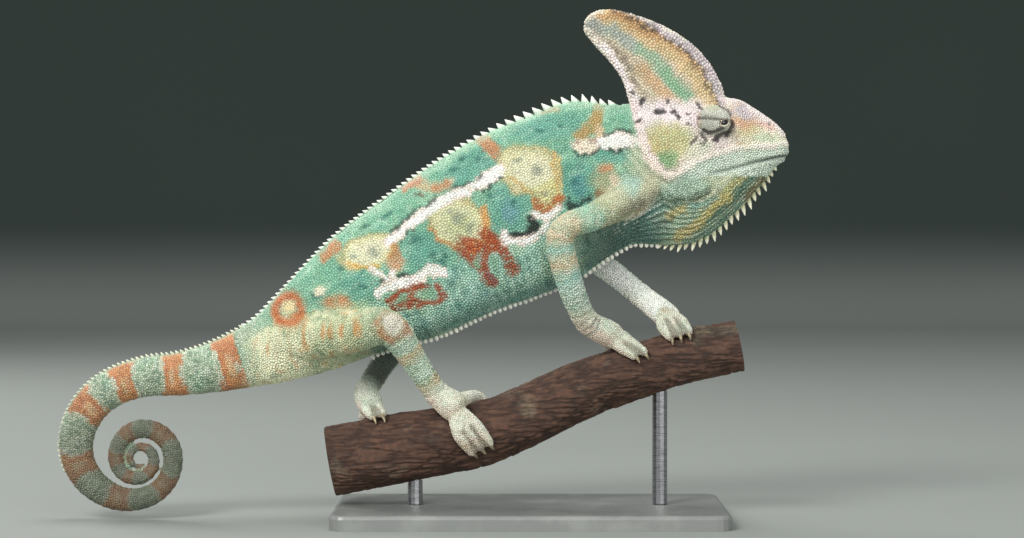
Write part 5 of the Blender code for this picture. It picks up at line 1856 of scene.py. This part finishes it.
def coat_groups(places):
    """Names of the coat's pieces, which scales each has and its slot."""
    right = places.side < 0
    body = places.part == BODY_PART
    along, t = places.x, places.body_t
    groups = []
    for name, side in (("right", right), ("left", ~right)):
        head = side & np.isin(places.part, (HEAD_PART, TURRET_PART))
        groups.append(("scales_head_" + name, head, "head_skin"))
        groups.append(("scales_casque_" + name, side & (places.part == CASQUE_PART), "head_skin"))
        for length, front, rear in BODY_LENGTHS:
            chosen = side & body & (along <= front) & (along > rear)
            groups.append((f"scales_{length}_{name}", chosen, "body_skin"))
    for length, first, last in TAIL_LENGTHS:
        chosen = body & (along <= TAIL_X) & (t >= first) & (t < last)
        groups.append(("scales_tail_" + length, chosen, "tail_skin"))
    for part, name in zip(LIMB_PARTS, ("arm_right", "arm_left", "leg_right", "leg_left")):
        groups.append(("scales_" + name, places.part == part, "limb_skin"))
    return groups


def build_coat(scales, places, surface, hide):
    for name, chosen, slot in coat_groups(places):
        index = np.flatnonzero(chosen)
        points, triangles, colours, owner = scales.mesh(index)
        obj = mesh_object(name, points, triangles)
        set_colours(obj, colours)
        roots = unwrap_places(scales.points[index], surface)
        set_bake_map(obj, roots, owner, round_patch(len(index)))
        obj.data.materials.append(hide)
        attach(obj, "root")


# ---- crests ----

SPIKE_SIDES = 8

# Rings of a spike from below its root to near its tip: shares of its height and its root's size
TOOTH = ((-0.35, 1.0), (0.0, 0.98), (0.35, 0.66), (0.70, 0.34), (0.92, 0.12))
CONE = ((-0.35, 1.0), (0.05, 0.96), (0.40, 0.78), (0.72, 0.46), (0.93, 0.17))
BEAD = ((-0.35, 0.8), (0.05, 0.96), (0.40, 1.0), (0.72, 0.76), (0.93, 0.36))


def edge_of_body(t, top):
    """A point on the upper or lower edge of the body at t, with the direction out of it."""
    def point(where):
        return body_ring(where, 4)[0 if top else 2]

    along = unit(point(t + 0.02) - point(t - 0.02))
    outward = np.array((-along[2], 0, along[0]))
    x, z = spline(SPINE_LINE, t)[:2]
    place = point(t)
    return place, outward if outward.dot(place - np.array((x, 0, z))) > 0 else -outward


def spike_row(first, last, top, spacing, height, lean=(0.0, 0.0), wild=0.0):
    """Roots, ways out, heights and spacings of spikes along an edge, the last two by t."""
    samples = steps(first, last, 500)
    points = np.array([edge_of_body(t, top)[0] for t in samples])
    lengths = np.concatenate([[0], np.cumsum(np.linalg.norm(np.diff(points, axis=0), axis=1))])
    found, length = [], 0.0
    while length < lengths[-1]:
        t = float(np.interp(length, lengths, samples))
        root, outward = edge_of_body(t, top)
        outward = unit(outward + np.array((lean[0], 0, lean[1])))
        chance = lattice_value(np.array([[len(found), 3, 8]]), 9)[0]
        found.append((root, outward, height(t) * (1 + wild * (chance - 0.5)), spacing(t)))
        length += spacing(t) * (1 + 0.5 * wild * (chance - 0.5))
    return found


def spike_mesh(spikes, levels, length, width, back):
    """Points, triangles, shade and owner of spikes.

    Levels give each ring's share of the height and of the root's size. Length and width are the
    root's half sizes along the body and across it, and back is how far the tip lies towards the
    tail, all over the spacing.
    """
    k = np.arange(SPIKE_SIDES)
    after = (k + 1) % SPIKE_SIDES
    across = np.array((0.0, 1.0, 0.0))
    cosines, sines = circle(SPIKE_SIDES).T[..., None]
    points, triangles, shade, owner = [], [], [], []
    for number, (root, outward, height, spacing) in enumerate(spikes):
        along = unit(np.cross(outward, across))
        along = -along if along[0] > 0 else along
        base = len(points)
        for share, size in levels:
            centre = root + outward * height * share + along * spacing * back * max(share, 0)
            ring = length * cosines * along + width * sines * across
            points.extend(centre + spacing * size * ring)
            shade.extend([max(share, 0.0)] * SPIKE_SIDES)
        points.append(root + outward * height + along * spacing * back)
        shade.append(1.0)
        faces = []
        for level in range(len(levels) - 1):
            a, b = base + level * SPIKE_SIDES, base + (level + 1) * SPIKE_SIDES
            faces.append(np.stack([a + k, a + after, b + k], 1))
            faces.append(np.stack([a + after, b + after, b + k], 1))
        top = base + (len(levels) - 1) * SPIKE_SIDES
        faces.append(np.stack([top + k, top + after, np.full(SPIKE_SIDES, top + SPIKE_SIDES)], 1))
        flip = np.dot(np.cross(along, across), outward) > 0
        triangles += faces if flip else [part[:, ::-1] for part in faces]
        owner.extend([number] * (len(levels) * SPIKE_SIDES + 1))
    return np.array(points), np.concatenate(triangles), np.array(shade), np.array(owner)


def spike_sets():
    """The crests: name, mesh, root colour, tip colour, slot and the roots."""
    chest, root_t = body_t(34), body_t(-112)

    def curve(ts, values):
        return lambda t: float(np.interp(t, ts, values))

    back_spacing = curve((chest, body_t(6), body_t(-20), body_t(-60)), (3.6, 4.1, 2.6, 2.3))
    back_height = curve((chest, body_t(28), body_t(10), body_t(-12), body_t(-40), root_t),
                        (1.9, 2.8, 2.8, 1.6, 1.25, 1.1))
    tail_height = curve((root_t, coil_t(100), coil_t(190)), (1.2, 1.1, 0.5))
    throat_height = curve((0.3, 1.2, 2.6, 4.5, body_t(56), body_t(50)),
                          (1.2, 2.6, 3.9, 3.0, 2.0, 1.2))
    throat_spacing = curve((0.3, 2.6, 4.5, body_t(50)), (2.6, 3.3, 3.0, 2.2))
    rows = (
        ("crest_back", spike_row(chest, root_t, True, back_spacing, back_height, wild=0.15),
         TOOTH, 0.46, 0.24, 0.42, tone(196, 214, 196), tone(246, 244, 236), "body_skin"),
        ("crest_tail", spike_row(root_t, coil_t(190), True, lambda t: 2.0, tail_height, wild=0.15),
         TOOTH, 0.44, 0.24, 0.34, tone(176, 186, 160), tone(226, 222, 200), "tail_skin"),
        ("crest_throat", spike_row(0.35, body_t(52), False, throat_spacing, throat_height,
                                   (-0.5, 0.0), 0.5),
         CONE, 0.32, 0.28, 0.0, tone(222, 220, 180), tone(254, 250, 228), "head_skin"),
        ("crest_belly", spike_row(body_t(51), body_t(-74), False, lambda t: 2.2, lambda t: 1.5,
                                  wild=0.3),
         BEAD, 0.40, 0.36, 0.0, tone(232, 236, 220), tone(254, 252, 244), "body_skin"),
    )
    for name, spikes, levels, length, width, back, low, high, slot in rows:
        mesh = spike_mesh(spikes, levels, length, width, back)
        yield name, spikes, mesh, len(levels), low, high, slot


def build_crests(surface, hide):
    for name, spikes, (points, triangles, shade, owner), levels, low, high, slot in spike_sets():
        obj = mesh_object(name, points, triangles)
        set_colours(obj, blended(low, high, smoothstep(0.0, 0.55, shade)))
        roots = unwrap_places(np.array([spike[0] for spike in spikes]), surface)
        rings = [circle(SPIKE_SIDES) * (1 - level / levels) for level in range(levels)]
        local = np.concatenate(rings + [[[0, 0]]])
        set_bake_map(obj, roots, owner, np.tile(local, (len(spikes), 1)))
        obj.data.materials.append(hide)
        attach(obj, "root")


# ---- claws and eyes ----

def build_claws():
    points, quads, nodes = [], [], []
    for name, _, _, _, bundles in FEET:
        number = 0
        for count, _, end, step, sweep in bundles:
            for index in range(count):
                number += 1
                nodes.append(f"{name}_claw_{number}")
                rings = tube_rings(claw_rows(end, step, sweep, index), 0, 2, 12, 12)
                p, q, t = shell(rings)
                offset = sum(len(part) for part in points)
                points.append(p)
                quads.append(np.concatenate([q, t[:, [0, 1, 2, 2]]]) + offset)
    claws = triangle_object("claws", np.concatenate(points), np.concatenate(quads))
    claws.data.materials.append(horn_material())
    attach(claws, "root")
    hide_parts(*nodes)


def horn_material():
    n = Nodes("claw_horn")
    streak = n.noise(700.0, 3.0)
    share = n.spread(streak, 0.3, 0.7, 0.0, 1.0)
    colour = n.mix(share, rgba(tone(120, 104, 80)), rgba(tone(196, 184, 150)))
    gloss = n.spread(streak, 0.3, 0.7, 0.25, 0.42)
    return n.finish(Base_Color=colour, Roughness=gloss,
                    Normal=n.bump(n.noise(1600.0), 0.15, 0.0001))


def lid_point(side, angle, grow=1.0):
    """A point on the edge of the lids' opening at an angle round it."""
    gaze = mirrored(GAZE, side)
    level = unit(np.array((1.0, 0, 0)) - gaze * gaze[0])
    over = unit(np.array((0, 0, 1.0)) - gaze * gaze[2])
    width, height, tilt = LID_SHAPE
    turn = math.radians(tilt)
    a, b = width * grow * math.cos(angle), height * grow * math.sin(angle)
    across, up = a * math.cos(turn) - b * math.sin(turn), a * math.sin(turn) + b * math.cos(turn)
    out = math.sqrt(max(LID_RADIUS ** 2 - across ** 2 - up ** 2, 0.1))
    return mirrored(EYEBALL, side) + gaze * out + level * across + over * up


def build_lids():
    """A soft rim round each eye's opening, with painted shade above and a painted highlight below.
    """
    for name, side in (("right", -1), ("left", 1)):
        rings, shades = [], []
        for angle in turns(LID_STEPS):
            middle = lid_point(side, angle)
            out = unit(middle - mirrored(EYEBALL, side))
            away = unit(lid_point(side, angle, 1.2) - middle)
            thick = 0.34 + 0.08 * math.sin(2 * angle)
            a = turns(LID_SIDES)[:, None]
            rings.append(middle + thick * (np.cos(a) * out + np.sin(a) * away))
            shades.extend([0.5 - 0.5 * math.sin(angle)] * LID_SIDES)
        points, quads = flat_grid(np.array(rings + rings[:1]))
        points = points[:len(shades)]
        quads = quads % len(points)
        lid = mesh_object("lid_rim_" + name, points, quads if side < 0 else quads[:, ::-1])
        # Painted shade on the upper rim and painted highlight on the lower rim.
        set_colours(lid, blended(tone(120, 106, 92), tone(216, 208, 190), np.array(shades)))
        lid.data.materials.append(hide_material("lid_" + name, 0.5, 0.3))
        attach(lid, "root")


def triangle_object(name, points, quads):
    """An object from quads, some of which repeat their last corner and so are triangles."""
    whole = quads[:, 2] != quads[:, 3]
    split = quads[whole]
    triangles = np.concatenate([split[:, [0, 1, 2]], split[:, [0, 2, 3]], quads[~whole][:, :3]])
    return mesh_object(name, points, triangles)


def build_eyes():
    for name, side in (("right", -1), ("left", 1)):
        centre, gaze = mirrored(EYEBALL, side), mirrored(GAZE, side)
        e1 = unit(np.cross(gaze, np.array((0.0, 0.0, 1.0))))
        e2 = np.cross(e1, gaze)
        rings = []
        for polar in np.linspace(0.02, math.pi - 0.02, EYE_DETAIL[0]):
            a = turns(EYE_DETAIL[1])[:, None]
            way = np.cos(polar) * gaze + np.sin(polar) * (np.cos(a) * e1 + np.sin(a) * e2)
            bulge = 1 + 0.035 * math.exp(-(polar / 0.45) ** 2)
            rings.append(centre + way * EYEBALL_RADIUS * bulge)
        points, quads, caps = shell(rings)
        eye = triangle_object("eyeball_" + name, points,
                              np.concatenate([quads, caps[:, [0, 1, 2, 2]]]))
        gap = np.linalg.norm(points - centre - ((points - centre) @ gaze)[:, None] * gaze, axis=1)
        set_colours(eye, iris_colours(gap))
        n = Nodes("eye_" + name)
        colour = n.shaded(n.stored_paint(), n.spread(n.noise(2600.0, 3.0), 0.35, 0.65, 0.75, 1.15))
        n.finish(Base_Color=colour, Roughness=0.06, Coat_Weight=0.6, Coat_Roughness=0.03)
        eye.data.materials.append(n.material)
        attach(eye, "root")
        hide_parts("eye_" + name)


def iris_colours(gap):
    """Black pupil, thin gold ring and dark iris by distance from the line of sight."""
    gold = blended(tone(46, 30, 18), tone(150, 108, 44), ridge(gap - IRIS_RING, 0.10))
    return blended(gold, tone(5, 5, 6), smoothstep(PUPIL + 0.05, PUPIL - 0.05, gap))


# ---- perch, stand and studio ----

BARK_TURNS, BARK_STEPS = 260, 310
FURROW_DEPTH, PLATE_DEPTH = 0.62, 0.45
SAWN_RINGS = 26  # of points on each end of the branch


def bark_rings():
    """Knotty sections along the perch, before the bark's relief."""
    rings = []
    across = np.array((0.0, -1.0, 0.0))
    a = turns(BARK_TURNS)
    for t in steps(0, len(PERCH) - 1, BARK_STEPS):
        x, height, bend, radius = spline(PERCH, t)
        ahead, behind = spline(PERCH, t + 0.05), spline(PERCH, t - 0.05)
        along = unit(np.array((ahead[0] - behind[0], ahead[2] - behind[2], ahead[1] - behind[1])))
        over = unit(np.cross(across, along))
        knots = 1 + 0.03 * np.sin(3 * a + 1.7 * t) + 0.02 * np.sin(5 * a - 2.3 * t)
        ring = np.cos(a)[:, None] * over + np.sin(a)[:, None] * across
        rings.append(np.array((x, bend, height)) + ring * (radius * knots)[:, None])
    return np.array(rings)


def furrowed(rings):
    """The rings with furrows and plates sunk into them, and the bark's colours."""
    flat = rings.reshape(-1, 3)
    way = unit((rings - rings.mean(1, keepdims=True)).reshape(-1, 3))
    stretched = flat * np.array((0.16, 1.0, 1.0)) + 0.5 * noise(flat, 6.0, 30)[:, None]
    furrow = np.clip(1 - np.abs(fractal(stretched, 2.0, 31, 3)) * 3.0, 0, 1)
    plate = fractal(flat * np.array((0.4, 1.0, 1.0)), 6.0, 36, 4)
    depth = FURROW_DEPTH * furrow + PLATE_DEPTH * np.clip(-plate, 0, 1)
    depth = depth + 0.12 * noise(flat, 0.9, 39)
    shade = np.clip(1 - 0.62 * furrow + 0.2 * plate, 0.25, 1.15)
    lichen = smoothstep(0.25, 0.6, fractal(flat, 11.0, 41, 3))
    colours = blended(tone(88, 62, 48), tone(112, 96, 78), lichen) * shade[:, None]
    return (flat - way * depth[:, None]).reshape(rings.shape), colours


def bark_material():
    n = Nodes("bark")
    grain = n.noise(520.0, 6.0, 0.65)
    colour = n.shaded(n.stored_paint(), n.spread(grain, 0.3, 0.7, 0.6, 1.3))
    rough = n.spread(grain, 0.3, 0.7, 0.75, 0.95)
    return n.finish(Base_Color=colour, Roughness=rough, Normal=n.bump(grain, 0.55, 0.0006))


def build_bark():
    """The cut length of branch: furrowed bark with a paler sawn face at each end."""
    rings, colours = furrowed(bark_rings())
    points, quads = flat_grid(rings)
    points, quads, colours = [points], [quads], [colours]
    for end, flip in ((0, False), (-1, True)):
        face_points, face_quads, face_colours = sawn_face(rings[end], flip)
        quads.append(face_quads + sum(len(part) for part in points))
        points.append(face_points)
        colours.append(face_colours)
    bark = mesh_object("perch_bark", np.concatenate(points), np.concatenate(quads))
    bark.data.set_sharp_from_angle(angle=math.radians(60))
    set_colours(bark, np.concatenate(colours))
    bark.data.materials.append(bark_material())
    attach(bark, "root")
    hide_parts("perch_branch")


def sawn_face(ring, flip):
    """The end of the branch: a disc of rings with growth rings and a dark bark edge."""
    centre = ring.mean(0)
    shares = np.linspace(1, 0.02, SAWN_RINGS)
    loops = np.array([centre + (ring - centre) * share for share in shares])
    points, quads = flat_grid(loops)
    share = np.repeat(shares, len(ring))
    growth = 0.5 + 0.5 * np.sin(share * 46 + 1.5 * noise(points, 5, 51))
    wood = blended(tone(178, 140, 96), tone(206, 176, 132), growth)
    colours = blended(wood, tone(84, 54, 38), smoothstep(0.90, 0.95, share))
    return points, quads[:, ::-1] if flip else quads, colours


def put_material(frame, names, material):
    for name in names:
        for slot in frame["nodes"][name].material_slots:
            slot.material = material


def paint_material():
    n = Nodes("stand_paint")
    grain = n.noise(900.0, 5.0)
    wear = n.spread(n.noise(60.0, 4.0), 0.45, 0.7, 0.0, 1.0)
    colour = n.mix(wear, rgba(tone(128, 130, 126)), rgba(tone(142, 144, 138)))
    gloss = n.spread(grain, 0.3, 0.7, 0.32, 0.5)
    return n.finish(Base_Color=colour, Roughness=gloss, Normal=n.bump(grain, 0.12, 0.0002))


def steel_material():
    n = Nodes("stand_steel")
    brushed = n.add("ShaderNodeMapping")
    n.put(brushed, "Vector", n.place)
    n.put(brushed, "Scale", (1.0, 1.0, 40.0))
    lines = n.noise(220.0, 3.0, 0.6, brushed.outputs["Vector"])
    share = n.spread(lines, 0.3, 0.7, 0.0, 1.0)
    colour = n.mix(share, rgba(tone(120, 120, 122)), rgba(tone(176, 176, 178)))
    gloss = n.spread(lines, 0.3, 0.7, 0.24, 0.4)
    return n.finish(Base_Color=colour, Metallic=1.0, Roughness=gloss,
                    Normal=n.bump(lines, 0.1, 0.0001))


# The studio, in metres
FLOOR_TONE = tone(140, 144, 138)
BACKDROP_TONE = tone(58, 68, 62)
FLOOR_HALF_WIDTH, FLOOR_FRONT, FLOOR_BACK, BACKDROP_TOP, CURVE = 4.0, -3.0, 2.6, 2.4, 0.6
FADE_TOP = 0.12  # height at which the backdrop is dark
# Name, place, size and power
LIGHTS = (
    ("key", (-0.7, -1.2, 1.1), 0.6, 22.0),
    ("fill", (0.5, -1.7, 0.25), 1.4, 17.5),
    ("top", (0.1, 0.25, 1.5), 0.8, 9.0),
    ("rim", (-0.9, 0.8, 0.7), 0.6, 7.0),
)
LIT_PLACE = (0, 0, 0.1)
SKY_COLOUR, SKY_STRENGTH = (0.85, 0.9, 0.95, 1), 0.42
LENS, SENSOR = 100, 36  # millimetres
CAMERA_AIM, CAMERA_DISTANCE, CAMERA_ELEVATION = (-0.0072, 0, 0.1004), 1.139, 1.0


def build_floor():
    """Pale floor that curves up into a darker backdrop."""
    profile = [(FLOOR_FRONT, 0.0)]
    for a in np.linspace(0, math.pi / 2, 16):
        profile.append((FLOOR_BACK - CURVE + CURVE * math.sin(a), CURVE - CURVE * math.cos(a)))
    profile.append((FLOOR_BACK, BACKDROP_TOP))
    sides = (-FLOOR_HALF_WIDTH, FLOOR_HALF_WIDTH)
    points = np.array([(x, y, z) for y, z in profile for x in sides]) / MM
    k = np.arange(len(profile) - 1) * 2
    floor = mesh_object("studio_floor", points, np.stack([k, k + 1, k + 3, k + 2], 1))
    n = Nodes("studio_paper")
    height = n.add("ShaderNodeSeparateXYZ")
    n.put(height, "Vector", n.place)
    rise = n.spread(height.outputs["Z"], 0.0, FADE_TOP, 0.0, 1.0)
    pale = n.mix(n.noise(3.0, 2.0), rgba(FLOOR_TONE), rgba(FLOOR_TONE * 1.08))
    dark = n.mix(n.noise(3.0, 2.0), rgba(BACKDROP_TONE), rgba(BACKDROP_TONE * 1.2))
    n.finish(Base_Color=n.mix(rise, pale, dark), Roughness=0.9)
    floor.data.materials.append(n.material)
    floor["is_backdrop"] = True


def build_lights():
    for name, place, size, power in LIGHTS:
        light = bpy.data.lights.new("light_" + name, "AREA")
        light.shape, light.size, light.energy = "SQUARE", size, power
        lamp = bpy.data.objects.new("light_" + name, light)
        lamp.location = place
        aim = Vector(LIT_PLACE) - Vector(place)
        lamp.rotation_euler = aim.to_track_quat("-Z", "Y").to_euler()
        bpy.context.scene.collection.objects.link(lamp)
    world = bpy.data.worlds.new("studio")
    world.use_nodes = True
    sky = world.node_tree.nodes["Background"].inputs
    sky["Color"].default_value = SKY_COLOUR
    sky["Strength"].default_value = SKY_STRENGTH
    bpy.context.scene.world = world
    bpy.context.scene.view_settings.view_transform = "Standard"


def build_camera():
    data = bpy.data.cameras.new("camera")
    data.lens, data.sensor_width = LENS, SENSOR
    camera = bpy.data.objects.new("camera", data)
    elevation = math.radians(CAMERA_ELEVATION)
    back = Vector((0, -math.cos(elevation), math.sin(elevation)))
    camera.location = Vector(CAMERA_AIM) + back * CAMERA_DISTANCE
    camera.rotation_euler = (-back).to_track_quat("-Z", "Y").to_euler()
    bpy.context.scene.collection.objects.link(camera)
    bpy.context.scene.camera = camera


# ---- putting it together ----

SKIN_SHADE = 0.55  # of the skin between the scales, over the scales' own colours
EYE_CLEARANCE = 1.3  # how far from the lids' opening scales stay, in its own size
FLESH_NODES = (
    "head", "casque", "eye_turret_right", "eye_turret_left", "throat", "neck", "trunk", "tail_root",
    "tail_top", "tail_bend", "tail_underside", "tail_roll_outer", "tail_roll_inner",
    "upper_arm_right", "forearm_right", "hand_right", "upper_arm_left", "forearm_left", "hand_left",
    "thigh_right", "shin_right", "foot_right", "thigh_left", "shin_left", "foot_left",
)


def scale_seeds(surface, flesh, lines):
    """Places for scales all over the smooth skin, and how far apart they are to be."""
    points, quads = surface.points, surface.quads
    across = points[quads[:, 2]] - points[quads[:, 0]]
    over = points[quads[:, 3]] - points[quads[:, 1]]
    middles = Places(points[quads].mean(1), unit(np.cross(across, over)), flesh, lines)
    apart = spacings(middles)
    seeds, gaps = [], []
    for number, value in enumerate(np.unique(apart)):
        found = scattered(points, quads[apart == value], value, SEED + number)
        seeds.append(found)
        gaps.append(np.full(len(found), value))
    return np.concatenate(seeds), np.concatenate(gaps)


def build_skin(folded, colours, material):
    skin = mesh_object("skin", folded.points, folded.quads)
    set_colours(skin, colours * SKIN_SHADE)
    skin.data.materials.append(material)
    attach(skin, "root")
    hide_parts(*FLESH_NODES)


def build_animal(hide, skin_material):
    flesh = grow_flesh()
    lines = centrelines()
    points, quads = flesh.surface()
    smooth = Surface(smoothed(points, quads), quads)
    places = Places(smooth.points, smooth.normals, flesh, lines)
    folded = Surface(smooth.points + smooth.normals * folds(places)[:, None], quads)
    build_skin(folded, colours_of(places, lines), skin_material)
    seeds, apart = scale_seeds(smooth, flesh, lines)
    seeds = settled(seeds, apart, smooth, SETTLING_PASSES)
    roots = Places(seeds, smooth.normals_at(seeds), flesh, lines)
    gap, out = eye_gap(roots)
    roots = roots.only(~((roots.part == TURRET_PART) & (gap < EYE_CLEARANCE) & (out > 0)))
    raised = roots.points + roots.normals * folds(roots)[:, None]
    scales = Scales(raised, folded.normals_at(raised), roots, colours_of(roots, lines))
    build_coat(scales, roots, smooth, hide)
    build_crests(smooth, hide)


def main():
    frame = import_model()
    cad_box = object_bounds()
    hide = hide_material("scales", 0.46, 0.25)
    build_animal(hide, hide_material("skin", 0.6, 0.35))
    build_claws()
    build_eyes()
    build_lids()
    build_bark()
    put_material(frame, ("stand_base",), paint_material())
    put_material(frame, ("stand_rod_rear", "stand_rod_front"), steel_material())
    build_floor()
    build_lights()
    build_camera()
    [[list(corner) for corner in box] for box in (cad_box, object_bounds())]


main()
